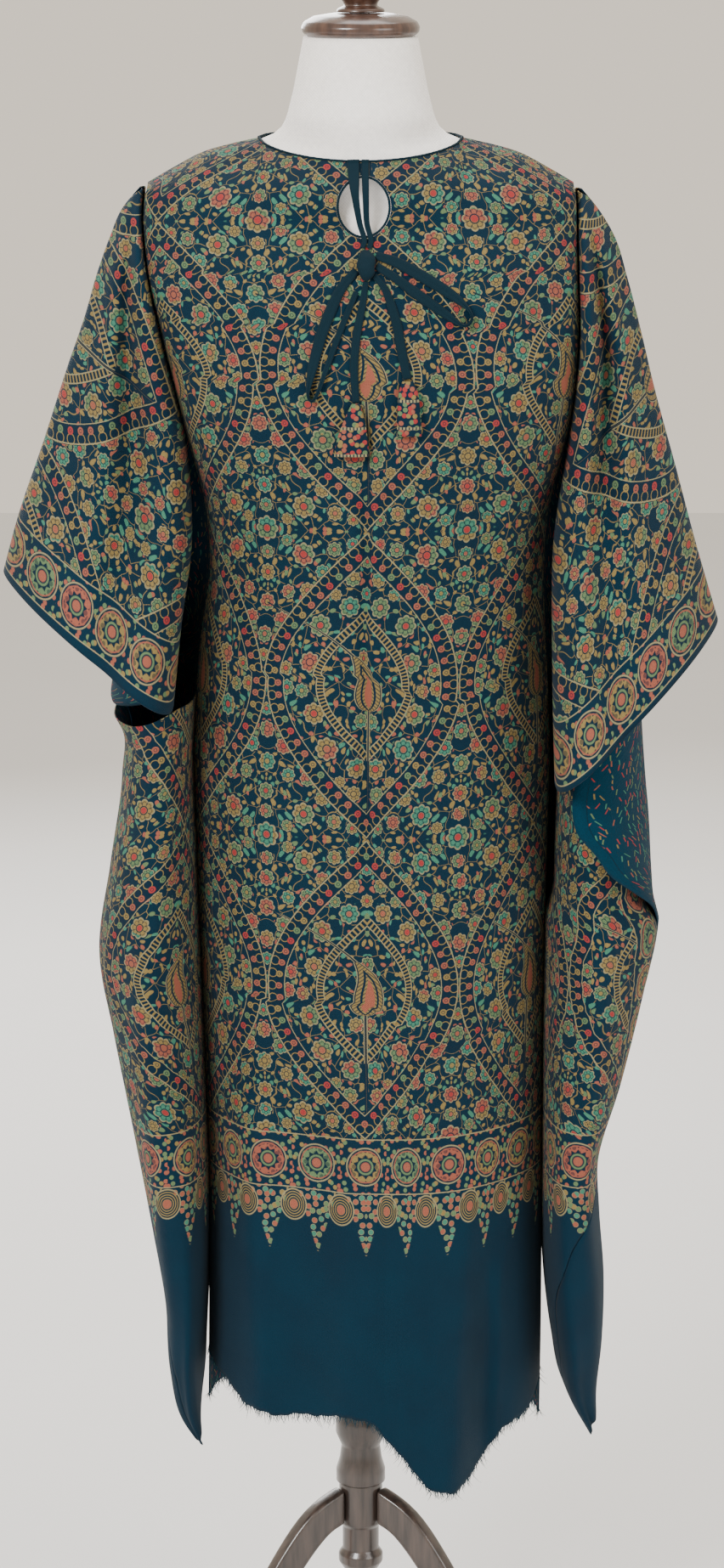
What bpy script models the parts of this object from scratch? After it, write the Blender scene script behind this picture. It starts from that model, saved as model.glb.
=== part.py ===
"""A shawl kaftan on a limbless dress form with a turned wooden stand.

One shawl is folded over the shoulders. A stitch line down each side makes the body. The cloth
outside the stitch lines hangs as a sleeve above and as a long pointed wing below.
Metres, +Z up, -Y is the front, and the floor is at zero.
"""

from collections import namedtuple

import bmesh
import bpy
import numpy as np

# Driving sizes
WALL = 0.0014
SEAM_GAP = 0.0008
FOLD_GAP = 0.0008
LEVEL_GAP = 0.012
STITCH_STEP = 0.0020
DEPTH_CENTRE = -0.0266
SHOULDER_HALF = 0.1751
NECK_HALF = 0.0840
NECK_BACK_HEIGHT = 1.3915
NECK_FRONT_HEIGHT = 1.3740
NECK_FRONT_DEPTH = 0.0660
NECK_BACK_DEPTH = 0.0600
WING_HEM = 0.3350
WING_LEVEL = 0.4100
BINDING_HALF = 0.0013
BINDING_GAP = 0.0005
KEYHOLE_BINDING_HALF = 0.0010
KEYHOLE_X = 0.0024
KEYHOLE_HEIGHT = 1.3395
KEYHOLE_HALF_WIDTH = 0.0222
KEYHOLE_HALF_HEIGHT = 0.0248
TIE_GAP = 0.0010
FRAY_GAP = 0.0007
FRAY_BACKING = 0.0016
FRAY_LENGTH = 0.0050
FRAY_LOCKS_A_COLUMN = 3

# The form, from its base to the top of its neck: half width, depth ahead and behind, and how
# much the ring is pinched towards the shoulders
FormRing = namedtuple("FormRing", "height half front back pinch")
FORM_RINGS = (
    FormRing(0.6363, 0.1116, 0.0780, 0.0850, 1.0),
    FormRing(0.6395, 0.1217, 0.0870, 0.0930, 1.0),
    FormRing(0.6510, 0.1272, 0.0920, 0.0980, 1.0),
    FormRing(0.7512, 0.1300, 0.0965, 0.1030, 1.0),
    FormRing(0.8747, 0.1320, 0.0980, 0.1060, 1.0),
    FormRing(0.9561, 0.1225, 0.0930, 0.0950, 1.0),
    FormRing(1.0368, 0.1071, 0.0820, 0.0780, 1.0),
    FormRing(1.1067, 0.1155, 0.0920, 0.0820, 1.0),
    FormRing(1.1761, 0.1337, 0.1060, 0.0880, 1.0),
    FormRing(1.2351, 0.1431, 0.1010, 0.0860, 1.0),
    FormRing(1.2840, 0.1534, 0.0920, 0.0800, 1.2),
    FormRing(1.3181, 0.1600, 0.0780, 0.0680, 1.8),
    FormRing(1.3413, 0.1625, 0.0660, 0.0570, 2.2),
    FormRing(1.3539, 0.1595, 0.0600, 0.0530, 2.3),
    FormRing(1.3628, 0.1548, 0.0570, 0.0510, 2.4),
    FormRing(1.3756, 0.1305, 0.0530, 0.0490, 2.8),
    FormRing(1.3833, 0.1045, 0.0510, 0.0490, 3.2),
    FormRing(1.3881, 0.0820, 0.0510, 0.0490, 2.6),
    FormRing(1.3953, 0.0668, 0.0520, 0.0500, 1.5),
    FormRing(1.4059, 0.0611, 0.0545, 0.0525, 1.0),
    FormRing(1.4289, 0.0552, 0.0515, 0.0505, 1.0),
    FormRing(1.4716, 0.0470, 0.0470, 0.0470, 1.0),
)

# The body of the kaftan: its two side edges, how far they stand ahead and behind, and its depth
BodyRing = namedtuple("BodyRing", "height left right edge front back")
BODY_RINGS = (
    BodyRing(1.3229, 0.1779, 0.1769, 0.0220, 0.0850, 0.0800),
    BodyRing(1.2840, 0.1739, 0.1773, 0.0380, 0.1040, 0.0940),
    BodyRing(1.2351, 0.1631, 0.1783, 0.0440, 0.1150, 0.1000),
    BodyRing(1.1860, 0.1518, 0.1759, 0.0400, 0.1220, 0.1010),
    BodyRing(1.1365, 0.1409, 0.1685, 0.0240, 0.1210, 0.0990),
    BodyRing(1.0868, 0.1295, 0.1572, 0.0060, 0.1180, 0.0980),
    BodyRing(1.0368, 0.1259, 0.1532, 0.0005, 0.1150, 0.1000),
    BodyRing(0.9764, 0.1333, 0.1547, 0.0005, 0.1140, 0.1060),
    BodyRing(0.8850, 0.1410, 0.1595, 0.0005, 0.1160, 0.1140),
    BodyRing(0.7925, 0.1393, 0.1579, 0.0005, 0.1180, 0.1160),
    BodyRing(0.6468, 0.1349, 0.1561, 0.0005, 0.1200, 0.1170),
    BodyRing(0.4986, 0.1309, 0.1564, 0.0005, 0.1230, 0.1180),
    BodyRing(0.3696, 0.1318, 0.1566, 0.0005, 0.1250, 0.1180),
    BodyRing(0.2386, 0.1338, 0.1556, 0.0005, 0.1260, 0.1180),
)

# The shoulder fold outside the neck, from the neck out to the tip of the sleeve
FoldPoint = namedtuple("FoldPoint", "reach height")
SHOULDER_FOLD = (
    FoldPoint(0.0777, 1.3905),
    FoldPoint(0.1049, 1.3847),
    FoldPoint(0.1312, 1.3770),
    FoldPoint(0.1556, 1.3642),
    FoldPoint(0.1751, 1.3529),
)
LEFT_FOLD = (
    FoldPoint(0.1800, 1.3510),
    FoldPoint(0.1958, 1.3326),
    FoldPoint(0.2068, 1.3083),
    FoldPoint(0.2179, 1.2780),
    FoldPoint(0.2282, 1.2435),
    FoldPoint(0.2421, 1.2046),
    FoldPoint(0.2643, 1.1384),
    FoldPoint(0.2874, 1.0725),
    FoldPoint(0.2988, 1.0314),
)
RIGHT_FOLD = (
    FoldPoint(0.1800, 1.3500),
    FoldPoint(0.1968, 1.3297),
    FoldPoint(0.2083, 1.3109),
    FoldPoint(0.2204, 1.2745),
    FoldPoint(0.2325, 1.2294),
    FoldPoint(0.2430, 1.1869),
    FoldPoint(0.2633, 1.1149),
    FoldPoint(0.2798, 1.0552),
    FoldPoint(0.2995, 0.9901),
)

# The sleeve front, in rows from the shoulder to the mouth rim. Each row runs from a near end by
# the body to a far end on the fold, bulges ahead by depth and sinks by trough along its crease.
SleeveRow = namedtuple("SleeveRow", "near far inner inner_back depth trough")
LEFT_SLEEVE = (
    SleeveRow(1.3481, 1.3423, 0.1801, 0.0005, 0.0100, 0.0000),
    SleeveRow(1.3210, 1.3171, 0.1803, 0.0200, 0.0200, 0.0020),
    SleeveRow(1.2821, 1.2780, 0.1759, 0.0380, 0.0320, 0.0080),
    SleeveRow(1.2204, 1.2046, 0.1628, 0.0420, 0.0500, 0.0200),
    SleeveRow(1.1415, 1.1384, 0.1453, 0.0260, 0.0780, 0.0260),
    SleeveRow(1.0618, 1.0968, 0.1406, 0.0300, 0.0960, 0.0260),
    SleeveRow(0.9915, 1.0618, 0.1491, 0.0560, 0.1080, 0.0200),
    SleeveRow(0.9288, 1.0314, 0.1551, 0.0780, 0.1180, 0.0120),
)
RIGHT_SLEEVE = (
    SleeveRow(1.3462, 1.3413, 0.1791, 0.0005, 0.0100, 0.0000),
    SleeveRow(1.3210, 1.3171, 0.1794, 0.0200, 0.0200, 0.0020),
    SleeveRow(1.2821, 1.2745, 0.1796, 0.0370, 0.0340, 0.0120),
    SleeveRow(1.2204, 1.2077, 0.1804, 0.0420, 0.0540, 0.0240),
    SleeveRow(1.1415, 1.1477, 0.1724, 0.0260, 0.0800, 0.0260),
    SleeveRow(1.0568, 1.0898, 0.1604, 0.0340, 0.0980, 0.0220),
    SleeveRow(0.9561, 1.0368, 0.1594, 0.0600, 0.1100, 0.0160),
    SleeveRow(0.8645, 0.9901, 0.1612, 0.0820, 0.1200, 0.0100),
)

# The wing below the sleeve, as rings: ease out from the stitch line, outer reach, middle of its
# depth, depth ahead and behind, and the angle at which the two layers meet round the ring
WingRing = namedtuple("WingRing", "height ease outer middle front back seam")
LEFT_WING = (
    WingRing(0.9421, 0.0000, 0.2085, 0.0000, 0.0920, 0.1040, 196),
    WingRing(0.9165, 0.0000, 0.2091, 0.0000, 0.0940, 0.1060, 196),
    WingRing(0.9011, 0.0000, 0.2008, 0.0000, 0.0950, 0.1080, 198),
    WingRing(0.8620, 0.0000, 0.2008, 0.0000, 0.0980, 0.1100, 200),
    WingRing(0.7820, 0.0000, 0.2119, 0.0000, 0.1030, 0.1140, 202),
    WingRing(0.7044, 0.0000, 0.2223, 0.0000, 0.1060, 0.1180, 198),
    WingRing(0.6395, 0.0000, 0.2114, 0.0000, 0.1080, 0.1180, 192),
    WingRing(0.5651, 0.0000, 0.1976, 0.0000, 0.1080, 0.1140, 186),
    WingRing(0.4630, 0.0000, 0.1796, 0.0000, 0.1000, 0.1040, 178),
    WingRing(0.3964, 0.0010, 0.1687, 0.0060, 0.0860, 0.0880, 150),
    WingRing(0.3371, 0.0030, 0.1651, 0.0200, 0.0580, 0.0600, 122),
    WingRing(0.2955, 0.0030, 0.1551, 0.0380, 0.0260, 0.0280, 112),
    WingRing(0.2704, 0.0010, 0.1393, 0.0460, 0.0060, 0.0060, 100),
)
RIGHT_WING = (
    WingRing(0.9304, 0.0000, 0.2359, 0.0000, 0.0960, 0.1080, 172),
    WingRing(0.8645, 0.0000, 0.2398, 0.0000, 0.0990, 0.1110, 170),
    WingRing(0.8117, 0.0000, 0.2448, 0.0000, 0.1010, 0.1140, 168),
    WingRing(0.7343, 0.0000, 0.2532, 0.0000, 0.1040, 0.1170, 160),
    WingRing(0.6720, 0.0000, 0.2410, 0.0000, 0.1060, 0.1180, 166),
    WingRing(0.5942, 0.0000, 0.2227, 0.0000, 0.1080, 0.1180, 172),
    WingRing(0.5245, 0.0000, 0.2037, 0.0000, 0.1060, 0.1120, 174),
    WingRing(0.4762, 0.0000, 0.2053, 0.0020, 0.1000, 0.1060, 104),
    WingRing(0.4173, 0.0020, 0.2097, 0.0080, 0.0880, 0.0920, 48),
    WingRing(0.3606, 0.0090, 0.2082, 0.0200, 0.0640, 0.0680, 42),
    WingRing(0.3159, 0.0190, 0.2035, 0.0360, 0.0320, 0.0360, 44),
    WingRing(0.2798, 0.0410, 0.2045, 0.0460, 0.0060, 0.0060, 60),
)

# The back layer of the sleeve, above the wing: its free edge ahead of the outer fold
RimPoint = namedtuple("RimPoint", "height flank back edge ahead")
LEFT_RIM = (
    RimPoint(1.0314, 0.2980, 0.0860, 0.2988, 0.0000),
    RimPoint(1.0167, 0.2700, 0.0920, 0.2680, 0.0120),
    RimPoint(0.9966, 0.2385, 0.0960, 0.2315, 0.0280),
    RimPoint(0.9669, 0.2018, 0.1010, 0.1941, 0.0500),
    RimPoint(0.9480, 0.2078, 0.1030, 0.1744, 0.0780),
    RimPoint(0.9362, 0.2094, 0.1040, 0.1675, 0.0900),
    RimPoint(0.9257, 0.2105, 0.1050, 0.1896, 0.0640),
    RimPoint(0.9165, 0.2091, 0.1060, 0.2076, 0.0120),
)
RIGHT_RIM = (
    RimPoint(0.9901, 0.2987, 0.0920, 0.2995, 0.0000),
    RimPoint(0.9744, 0.2716, 0.0960, 0.2686, 0.0150),
    RimPoint(0.9561, 0.2490, 0.1010, 0.2430, 0.0340),
    RimPoint(0.9304, 0.2359, 0.1060, 0.2194, 0.0620),
    RimPoint(0.9003, 0.2373, 0.1080, 0.1919, 0.0900),
    RimPoint(0.8747, 0.2392, 0.1100, 0.1791, 0.1030),
    RimPoint(0.8480, 0.2415, 0.1120, 0.1744, 0.1110),
    RimPoint(0.8258, 0.2437, 0.1130, 0.1796, 0.1140),
    RimPoint(0.8103, 0.2448, 0.1140, 0.1928, 0.1120),
    RimPoint(0.7880, 0.2459, 0.1150, 0.2089, 0.1060),
    RimPoint(0.7724, 0.2468, 0.1160, 0.2279, 0.0940),
    RimPoint(0.7559, 0.2478, 0.1170, 0.2438, 0.0700),
    RimPoint(0.7343, 0.2532, 0.1170, 0.2514, 0.0400),
)
BACK_DEPTH = (  # depth of the back layer above the sleeve tip
    FoldPoint(0.0060, 1.3510),
    FoldPoint(0.0420, 1.3229),
    FoldPoint(0.0600, 1.2791),
    FoldPoint(0.0720, 1.2155),
    FoldPoint(0.0800, 1.1365),
    FoldPoint(0.0860, 1.0314),
    FoldPoint(0.0920, 0.9901),
)

# Upright folds hung in the body: place, half width, depth, and where each starts and is full
Fold = namedtuple("Fold", "place half depth start full")
FRONT_FOLDS = (
    Fold(0.068, 0.0330, -0.0140, 0.605, 0.304),
    Fold(0.108, 0.0160, 0.0130, 0.456, 0.304),
    Fold(-0.052, 0.0230, 0.0070, 0.895, 0.391),
    Fold(-0.094, 0.0200, -0.0060, 0.793, 0.391),
)
BACK_FOLDS = (
    Fold(-0.060, 0.0260, -0.0090, 0.976, 0.391),
    Fold(0.010, 0.0240, -0.0120, 1.146, 0.391),
    Fold(0.075, 0.0240, -0.0090, 0.895, 0.391),
)

# The lower edge of the body, by place across it
HemPoint = namedtuple("HemPoint", "place height")
FRONT_HEM = (
    HemPoint(-0.1320, 0.3460),
    HemPoint(-0.1000, 0.3240),
    HemPoint(-0.0750, 0.3160),
    HemPoint(-0.0100, 0.3230),
    HemPoint(0.0110, 0.3170),
    HemPoint(0.0360, 0.2880),
    HemPoint(0.0610, 0.2590),
    HemPoint(0.0790, 0.2550),
    HemPoint(0.0960, 0.2660),
    HemPoint(0.1210, 0.2950),
    HemPoint(0.1450, 0.3050),
    HemPoint(0.1570, 0.3250),
)
BACK_HEM = (
    HemPoint(-0.1400, 0.3000),
    HemPoint(-0.0500, 0.2900),
    HemPoint(0.0400, 0.2940),
    HemPoint(0.1570, 0.2820),
)

# Turned profiles, as radius and height, from the top down
Turn = namedtuple("Turn", "radius height")
CAP_PROFILE = (
    Turn(0.0000, 1.4910),
    Turn(0.0241, 1.4905),
    Turn(0.0386, 1.4881),
    Turn(0.0465, 1.4838),
    Turn(0.0487, 1.4796),
    Turn(0.0482, 1.4757),
    Turn(0.0455, 1.4729),
    Turn(0.0430, 1.4720),
    Turn(0.0000, 1.4720),
)
FINIAL_PROFILE = (
    Turn(0.0000, 1.5337),
    Turn(0.0090, 1.5322),
    Turn(0.0175, 1.5261),
    Turn(0.0214, 1.5166),
    Turn(0.0208, 1.5071),
    Turn(0.0145, 1.4995),
    Turn(0.0135, 1.4967),
    Turn(0.0193, 1.4940),
    Turn(0.0200, 1.4914),
    Turn(0.0000, 1.4914),
)
COLUMN_PROFILE = (
    Turn(0.0000, 0.6358),
    Turn(0.0170, 0.6358),
    Turn(0.0170, 0.4020),
    Turn(0.0200, 0.3912),
    Turn(0.0200, 0.3782),
    Turn(0.0165, 0.3653),
    Turn(0.0150, 0.3153),
    Turn(0.0175, 0.2880),
    Turn(0.0220, 0.2760),
    Turn(0.0220, 0.2640),
    Turn(0.0170, 0.2520),
    Turn(0.0185, 0.2400),
    Turn(0.0215, 0.2300),
    Turn(0.0215, 0.2186),
    Turn(0.0000, 0.2186),
)
HUB_PROFILE = (
    Turn(0.0000, 0.2182),
    Turn(0.0190, 0.2182),
    Turn(0.0190, 0.1810),
    Turn(0.0160, 0.1770),
    Turn(0.0160, 0.1560),
    Turn(0.0195, 0.1510),
    Turn(0.0195, 0.1440),
    Turn(0.0150, 0.1370),
    Turn(0.0090, 0.1270),
    Turn(0.0000, 0.1250),
)

# A leg from the hub to its foot: reach from the axis, height, half width and half thickness
LegPoint = namedtuple("LegPoint", "reach height half rise")
LEG_POINTS = (
    LegPoint(0.0194, 0.1990, 0.0090, 0.0165),
    LegPoint(0.0450, 0.1890, 0.0090, 0.0140),
    LegPoint(0.0700, 0.1600, 0.0088, 0.0125),
    LegPoint(0.0950, 0.1250, 0.0085, 0.0115),
    LegPoint(0.1250, 0.0840, 0.0085, 0.0105),
    LegPoint(0.1550, 0.0480, 0.0085, 0.0100),
    LegPoint(0.1800, 0.0260, 0.0090, 0.0095),
    LegPoint(0.1960, 0.0120, 0.0095, 0.0095),
    LegPoint(0.2020, 0.0000, 0.0100, 0.0105),
)
LEG_CORNERS = ((1, 0.5), (0.6, 1), (-0.6, 1), (-1, 0.5), (-1, -0.5), (-0.6, -1), (0.6, -1), (1, -0.5))
LEG_ANGLES = {"leg_right": -30, "leg_left": 210, "leg_back": 90}

# The ties as flat strips on the front: place, height, half width and half thickness. Where a
# loop turns back on itself the strip stands on its edge.
TiePoint = namedtuple("TiePoint", "x height half lift")
TIES = {
    "tie_strap_left": (
        TiePoint(-0.0060, 1.3765, 0.0050, 0.0008),
        TiePoint(-0.0055, 1.3620, 0.0045, 0.0008),
        TiePoint(-0.0040, 1.3460, 0.0030, 0.0008),
        TiePoint(-0.0008, 1.3270, 0.0023, 0.0008),
        TiePoint(0.0030, 1.3140, 0.0021, 0.0008),
        TiePoint(0.0014, 1.3078, 0.0021, 0.0008),
    ),
    "tie_strap_right": (
        TiePoint(0.0038, 1.3765, 0.0031, 0.0008),
        TiePoint(0.0038, 1.3620, 0.0029, 0.0008),
        TiePoint(0.0042, 1.3460, 0.0026, 0.0008),
        TiePoint(0.0050, 1.3270, 0.0023, 0.0008),
        TiePoint(0.0084, 1.3140, 0.0021, 0.0008),
        TiePoint(0.0068, 1.3074, 0.0021, 0.0008),
    ),
    "bow_loop_right": (
        TiePoint(0.0122, 1.3020, 0.0030, 0.0008),
        TiePoint(0.0300, 1.2960, 0.0042, 0.0008),
        TiePoint(0.0540, 1.2830, 0.0046, 0.0008),
        TiePoint(0.0760, 1.2690, 0.0038, 0.0014),
        TiePoint(0.0880, 1.2580, 0.0012, 0.0036),
        TiePoint(0.0890, 1.2500, 0.0012, 0.0038),
        TiePoint(0.0820, 1.2470, 0.0014, 0.0034),
        TiePoint(0.0680, 1.2560, 0.0036, 0.0014),
        TiePoint(0.0480, 1.2700, 0.0042, 0.0008),
        TiePoint(0.0300, 1.2830, 0.0036, 0.0008),
        TiePoint(0.0126, 1.2942, 0.0030, 0.0008),
    ),
    "bow_loop_left": (
        TiePoint(-0.0036, 1.2908, 0.0030, 0.0008),
        TiePoint(-0.0170, 1.2740, 0.0042, 0.0008),
        TiePoint(-0.0300, 1.2440, 0.0046, 0.0008),
        TiePoint(-0.0385, 1.2140, 0.0040, 0.0012),
        TiePoint(-0.0425, 1.1935, 0.0014, 0.0034),
        TiePoint(-0.0395, 1.1875, 0.0012, 0.0036),
        TiePoint(-0.0350, 1.1930, 0.0014, 0.0034),
        TiePoint(-0.0265, 1.2160, 0.0022, 0.0014),
        TiePoint(-0.0160, 1.2440, 0.0026, 0.0008),
        TiePoint(-0.0080, 1.2630, 0.0024, 0.0008),
        TiePoint(-0.0036, 1.2740, 0.0022, 0.0008),
    ),
    "tie_tail_left": (
        TiePoint(0.0042, 1.2819, 0.0022, 0.0008),
        TiePoint(0.0015, 1.2640, 0.0030, 0.0008),
        TiePoint(-0.0030, 1.2400, 0.0034, 0.0008),
        TiePoint(-0.0052, 1.2140, 0.0034, 0.0008),
        TiePoint(-0.0038, 1.1860, 0.0030, 0.0008),
    ),
    "tie_tail_right": (
        TiePoint(0.0110, 1.2866, 0.0022, 0.0008),
        TiePoint(0.0200, 1.2750, 0.0030, 0.0008),
        TiePoint(0.0280, 1.2520, 0.0038, 0.0008),
        TiePoint(0.0335, 1.2250, 0.0040, 0.0008),
        TiePoint(0.0376, 1.2047, 0.0034, 0.0008),
    ),
}
TIE_RINGS = {"bow_loop_left": 22, "bow_loop_right": 22}
STRAIGHT_TIE_RINGS = 14

# The knot and the two tassels, as stacks of ovals: how far each is below the top, its place
# across, its half width and its half depth
OvalRing = namedtuple("OvalRing", "drop x half depth")
KNOT_TOP = 1.3062
KNOT = (
    OvalRing(0.0000, 0.0045, 0.0025, 0.0015),
    OvalRing(0.0035, 0.0045, 0.0058, 0.0038),
    OvalRing(0.0085, 0.0045, 0.0072, 0.0048),
    OvalRing(0.0145, 0.0045, 0.0070, 0.0046),
    OvalRing(0.0200, 0.0045, 0.0052, 0.0036),
    OvalRing(0.0235, 0.0045, 0.0024, 0.0015),
)
TASSEL_LEFT_TOP = 1.1853
TASSEL_LEFT = (
    OvalRing(0.0000, -0.0040, 0.0034, 0.0022),
    OvalRing(0.0070, -0.0046, 0.0064, 0.0036),
    OvalRing(0.0190, -0.0058, 0.0104, 0.0046),
    OvalRing(0.0330, -0.0070, 0.0136, 0.0052),
    OvalRing(0.0425, -0.0076, 0.0142, 0.0050),
)
TASSEL_RIGHT_TOP = 1.2033
TASSEL_RIGHT = (
    OvalRing(0.0000, 0.0379, 0.0044, 0.0024),
    OvalRing(0.0080, 0.0382, 0.0076, 0.0036),
    OvalRing(0.0200, 0.0386, 0.0092, 0.0044),
    OvalRing(0.0340, 0.0390, 0.0102, 0.0046),
    OvalRing(0.0440, 0.0393, 0.0100, 0.0042),
)

Finish = namedtuple("Finish", "colour roughness")
FINISHES = {
    "shawl_cloth": Finish((0.012, 0.080, 0.105), 0.72),
    "tie_cloth": Finish((0.010, 0.060, 0.082), 0.66),
    "form_cloth": Finish((0.800, 0.760, 0.690), 0.80),
    "dark_wood": Finish((0.070, 0.030, 0.018), 0.28),
    "stand_wood": Finish((0.045, 0.032, 0.028), 0.25),
}


def clear_scene():
    """Remove whatever the scene holds."""
    for item in list(bpy.data.objects):
        bpy.data.objects.remove(item, do_unlink=True)


def material(name, finish):
    """A sub-part's own Principled material in the named finish."""
    made = bpy.data.materials.new(f"{name}_{finish}")
    made.use_nodes = True
    shader = made.node_tree.nodes["Principled BSDF"]
    shader.inputs["Base Color"].default_value = (*FINISHES[finish].colour, 1.0)
    shader.inputs["Roughness"].default_value = FINISHES[finish].roughness
    return made


def smooth_read(places, values, at):
    """A smooth curve through values at rising places, read at one or more points."""
    places = np.asarray(places, float)
    values = np.asarray(values, float)
    at = np.clip(at, places[0], places[-1])
    slope = np.gradient(values, places)
    cell = np.clip(np.searchsorted(places, at, side="right") - 1, 0, len(places) - 2)
    width = places[cell + 1] - places[cell]
    t = (at - places[cell]) / width
    return (
        (2 * t**3 - 3 * t**2 + 1) * values[cell]
        + (t**3 - 2 * t**2 + t) * width * slope[cell]
        + (3 * t**2 - 2 * t**3) * values[cell + 1]
        + (t**3 - t**2) * width * slope[cell + 1]
    )


def column(rows, key, field, at):
    """One field of a table, read smoothly along its key field."""
    ordered = sorted(rows, key=lambda row: getattr(row, key))
    return smooth_read(
        [getattr(row, key) for row in ordered], [getattr(row, field) for row in ordered], at
    )


def row_at(rows, key, at):
    """A whole row of a table, every field read at one place along its key."""
    kind = type(rows[0])
    return kind(*(float(at) if f == key else float(column(rows, key, f, at)) for f in kind._fields))


def row_between(rows, t):
    """A whole row of a table, every field read at a share of the way down it."""
    keys = np.linspace(0.0, 1.0, len(rows))
    kind = type(rows[0])
    return kind(*(float(smooth_read(keys, [getattr(r, f) for r in rows], t)) for f in kind._fields))


def ease(low, high, at):
    """A smooth step from 0 at low to 1 at high, either way round."""
    t = np.clip((at - low) / (high - low), 0.0, 1.0)
    return t * t * (3 - 2 * t)


def resample(points, count):
    """The same line, with its points spread evenly along it."""
    points = np.asarray(points, float)
    steps = np.linalg.norm(np.diff(points, axis=0), axis=1)
    along = np.concatenate(([0.0], np.cumsum(steps)))
    at = np.linspace(0.0, along[-1], count)
    return np.stack([np.interp(at, along, points[:, k]) for k in range(points.shape[1])], axis=1)


def add_object(name, mesh, finish):
    """Put a mesh in the scene under the stand's empty, with its own material."""
    item = bpy.data.objects.new(name, mesh)
    bpy.context.scene.collection.objects.link(item)
    mesh.materials.append(material(name, finish))
    item.parent = bpy.data.objects["stand_axis"]
    return item


def grid_mesh(name, grid, closed=False, smooth=True):
    """A mesh of quads over a grid of points, joined round its columns when closed."""
    rows, columns, _ = grid.shape
    made = bmesh.new()
    points = [[made.verts.new(p) for p in row] for row in grid]
    last = columns if closed else columns - 1
    for i in range(rows - 1):
        for j in range(last):
            k = (j + 1) % columns
            made.faces.new((points[i][j], points[i + 1][j], points[i + 1][k], points[i][k]))
    if closed:
        made.faces.new(points[0])
        made.faces.new(points[-1][::-1])
    return finish_mesh(name, made, smooth)


def finish_mesh(name, made, smooth=True):
    """Turn a bmesh into a mesh with its faces pointing out."""
    bmesh.ops.recalc_face_normals(made, faces=made.faces)
    mesh = bpy.data.meshes.new(name)
    made.to_mesh(mesh)
    made.free()
    if smooth:
        mesh.shade_smooth()
    return mesh


def sheet(name, grid, finish="shawl_cloth"):
    """A cloth wall of even thickness about a grid of points."""
    item = add_object(name, grid_mesh(name, np.asarray(grid, float)), finish)
    solid = item.modifiers.new("wall", "SOLIDIFY")
    solid.thickness = WALL
    solid.offset = 0.0
    solid.use_even_offset = True
    solid.use_quality_normals = True
    return item


def loft(name, rings, finish, smooth=True):
    """A closed solid through a stack of rings, with flat ends."""
    return add_object(name, grid_mesh(name, np.asarray(rings, float), True, smooth), finish)


def turned(name, profile, finish, steps):
    """A turned piece from its profile, which runs down its outer side."""
    mesh = bpy.data.meshes.new(name)
    points = [(turn.radius, 0.0, turn.height) for turn in profile]
    mesh.from_pydata(points, [(i, i + 1) for i in range(len(points) - 1)], [])
    item = add_object(name, mesh, finish)
    screw = item.modifiers.new("turn", "SCREW")
    screw.steps = steps
    screw.render_steps = steps
    screw.use_merge_vertices = True
    screw.merge_threshold = 0.00001
    screw.use_smooth_shade = True
    return item


def form_rings(count=28):
    """The rings of the torso and neck, ovals that differ ahead and behind."""
    angles = np.linspace(0, 2 * np.pi, count, endpoint=False)
    rings = []
    for ring in FORM_RINGS:
        depth = np.where(np.sin(angles) < 0, ring.front, ring.back)
        swell = np.sign(np.sin(angles)) * np.abs(np.sin(angles)) ** ring.pinch
        heights = np.full(count, ring.height)
        rings.append(np.stack([ring.half * np.cos(angles), depth * swell, heights], axis=1))
    return rings


def body_angles(neck=9, shoulder=6):
    """Where the body's columns stand round it, with one on each end of the neck opening."""
    across = np.linspace(-NECK_HALF, NECK_HALF, neck) / SHOULDER_HALF
    outer = np.linspace(np.arcsin(across[-1]), np.pi / 2, shoulder)[1:]
    return np.concatenate((-outer[::-1], np.arcsin(across), outer))


def neck_sag(x):
    """How far into the neck opening a place is, from 0 at its ends to 1 in the middle."""
    return np.sqrt(np.clip(1 - (x / NECK_HALF) ** 2, 0, 1))


def shoulder_row(across, front):
    """The top edge of a body panel: the shoulder fold, and the neck edge between."""
    side = float(column(SHOULDER_FOLD, "reach", "height", NECK_HALF))
    middle = NECK_FRONT_HEIGHT if front else NECK_BACK_HEIGHT
    depth = NECK_FRONT_DEPTH if front else NECK_BACK_DEPTH
    out = []
    for x in across:
        sag = neck_sag(x)
        height = side + (middle - side) * sag**1.3
        if abs(x) > NECK_HALF:
            height = float(column(SHOULDER_FOLD, "reach", "height", abs(x)))
        out.append((x, depth * sag + SEAM_GAP / 2, height))
    return np.array(out)


def body_row(height, angles, front):
    """One level of a body panel, from its left edge to its right edge."""
    ring = row_at(BODY_RINGS, "height", height)
    middle = (ring.right - ring.left) / 2
    half = (ring.right + ring.left) / 2
    depth = ring.front if front else ring.back
    edge = max(ring.edge, SEAM_GAP / 2)
    across = middle + half * np.sin(angles)
    ahead = depth + (edge - depth) * (1 - np.cos(angles))
    return np.stack([across, ahead, np.full(len(angles), height)], axis=1)


def fold_push(x, height, folds):
    """How far the upright folds sink the cloth at this place."""
    push = 0.0
    for fold in folds:
        bell = np.exp(-(((x - fold.place) / fold.half) ** 2))
        push += fold.depth * bell * ease(fold.start, fold.full, height)
    return push


def yoke_rows(top, chest, angles):
    """The two rows that turn the cloth from the shoulder fold or neck edge to the chest."""
    sag = neck_sag(top[:, 0])
    crest = top.copy()
    crest[:, 1] += 0.020 - 0.013 * sag
    crest[:, 2] -= 0.0040 + 0.0050 * sag
    yoke = 0.45 * crest + 0.55 * chest
    yoke[:, 1] += (0.012 - 0.008 * sag) * np.cos(angles)
    yoke[:, 2] += 0.006
    return crest, yoke


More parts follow.
